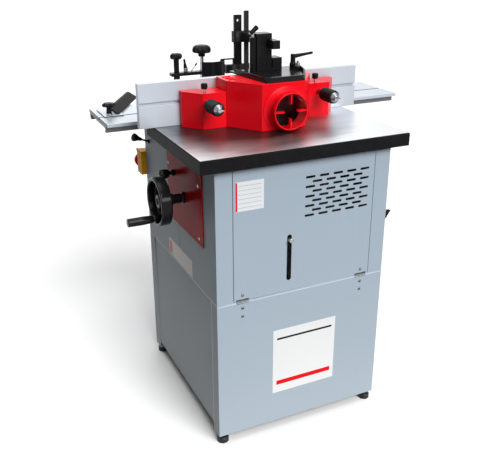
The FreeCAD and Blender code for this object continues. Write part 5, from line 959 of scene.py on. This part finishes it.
# Flat pieces on the sheets: blank plates without any lettering, painted highlights along the folds of the
# base's panels and a painted shade line at a seam on the side. Each slab has its finish, its low and high
# corner, and the ease of its edges if any
ruleLook = Look(count=6, low=709, tall=79, above=0.8, thick=1.2, x=(132, 198), y=(283.3, 283.65))
ruled = []
for row in range(ruleLook.count):
    level = ruleLook.low + ruleLook.tall * (row + ruleLook.above) / (ruleLook.count + ruleLook.above)
    low, high = zip(ruleLook.x, ruleLook.y, (level, level + ruleLook.thick))
    ruled.append(("ruled_grey", low, high))
flatLooks = {
    "door_plate": [("plain_label", (125, 282.6, 709), (205, 283.5, 788), 0.3), *ruled,
                   ("signal_red", (199.6, 283.3, 710), (204.4, 283.65, 787))],
    "base_plate": [("plain_label", (-110, 282.6, 126), (92, 283.4, 334), 0.3),
                   ("signal_red", (-98, 283.2, 152), (80, 283.55, 166)),
                   ("edge_black", (-98, 283.2, 302), (80, 283.55, 308))],
    "side_plate_blank": [("plain_label", (259.6, -87, 456), (260.6, 106, 508), 0.3),
                         ("signal_red", (260.4, -81, 462), (260.75, -61, 502))],
    "base_folds": [("pale_seam", (259.7, -282, 449), (260.4, 282, 452.4)),
                   ("pale_seam", (-259, 282.7, 446.4), (259, 283.4, 449)),
                   ("pale_seam", (259.7, 241, 50), (260.4, 245.2, 449))],
    "side_seam": [("dark_recess", (259.7, 4, 512), (260.15, 5.2, 589))],
}
for name, slabs in flatLooks.items():
    made = Shape(name)
    for values in slabs:
        made.slab(*values)
    made.done("door" if name == "door_plate" else "cabinet", "cabinet_paint")
print("small pieces done")


# Camera at the photograph's place
look = Look(place=(0.87251, 1.77639, 1.35775), ahead=(-0.3956, -0.8339, -0.3850), lens=50.33, sensor=36,
            far=60)
camera = bpy.data.objects.new("camera", bpy.data.cameras.new("camera"))
camera.data.lens = look.lens
camera.data.sensor_width = look.sensor
camera.data.clip_end = look.far
camera.location = look.place
camera.rotation_mode = "QUATERNION"
camera.rotation_quaternion = Vector(look.ahead).to_track_quat("-Z", "Y")
scene.collection.objects.link(camera)
scene.camera = camera

# Soft studio light: a broad key on the door's side, a light from above, a weak fill on the operator's side
lampLooks = {
    "key_lamp": Look(source=(-0.14, 0.82, 0.60), power=3.58, angle=40),
    "top_lamp": Look(source=(-0.06, 0.0, 1.0), power=1.5, angle=50),
    "fill_lamp": Look(source=(-0.05, -0.85, 0.45), power=0.9, angle=60),
}
for name, look in lampLooks.items():
    lamp = bpy.data.objects.new(name, bpy.data.lights.new(name, "SUN"))
    lamp.data.energy = look.power
    lamp.data.angle = math.radians(look.angle)
    lamp.rotation_mode = "QUATERNION"
    lamp.rotation_quaternion = Vector(look.source).to_track_quat("Z", "Y")
    scene.collection.objects.link(lamp)

# White surroundings to the eye and in reflections, a weak grey as light
look = Look(colour=(1, 1, 1, 1), seen=1.0, light=0.09)
scene.world = bpy.data.worlds.new("studio")
scene.world.use_nodes = True
sky = Tree(scene.world.node_tree)
background = sky.tree.nodes["Background"]
feed(sky.tree, background.inputs["Color"], look.colour)
feed(sky.tree, background.inputs["Strength"], look.light + sky.looking() * (look.seen - look.light))

# Pale floor that keeps the shadow; it throws back less light than it shows, and none far from the machine
look = Look(half=25.0, seen=(0.93, 0.93, 0.93), grain=2.0, spread=0.005, near=(0.50, 0.41, 0.32),
            far=(0.0, 0.0, 0.0), reach=(0.6, 1.2), rough=0.9)
ground = Finish("pale_floor")
grain = ground.noise(look.grain, detail=2)
pale = ground.mixed(grain, tone(look.seen, 1 - look.spread), tone(look.seen, 1 + look.spread))
thrown = ground.mixed(ground.between(ground.away(0, 0), *look.reach), tone(look.near), tone(look.far))
ground.wear(colour=ground.mixed(ground.looking(), thrown, pale), rough=look.rough, gloss=0.0)
corners = [(x * look.half, y * look.half, 0) for x, y in ((-1, -1), (1, -1), (1, 1), (-1, 1))]
floorMesh = bpy.data.meshes.new("floor")
floorMesh.from_pydata(corners, [], [(0, 1, 2, 3)])
floorMesh.materials.append(ground.material)
floor = bpy.data.objects.new("floor", floorMesh)
scene.collection.objects.link(floor)
scene.view_settings.view_transform = "Standard"
print("stage set")
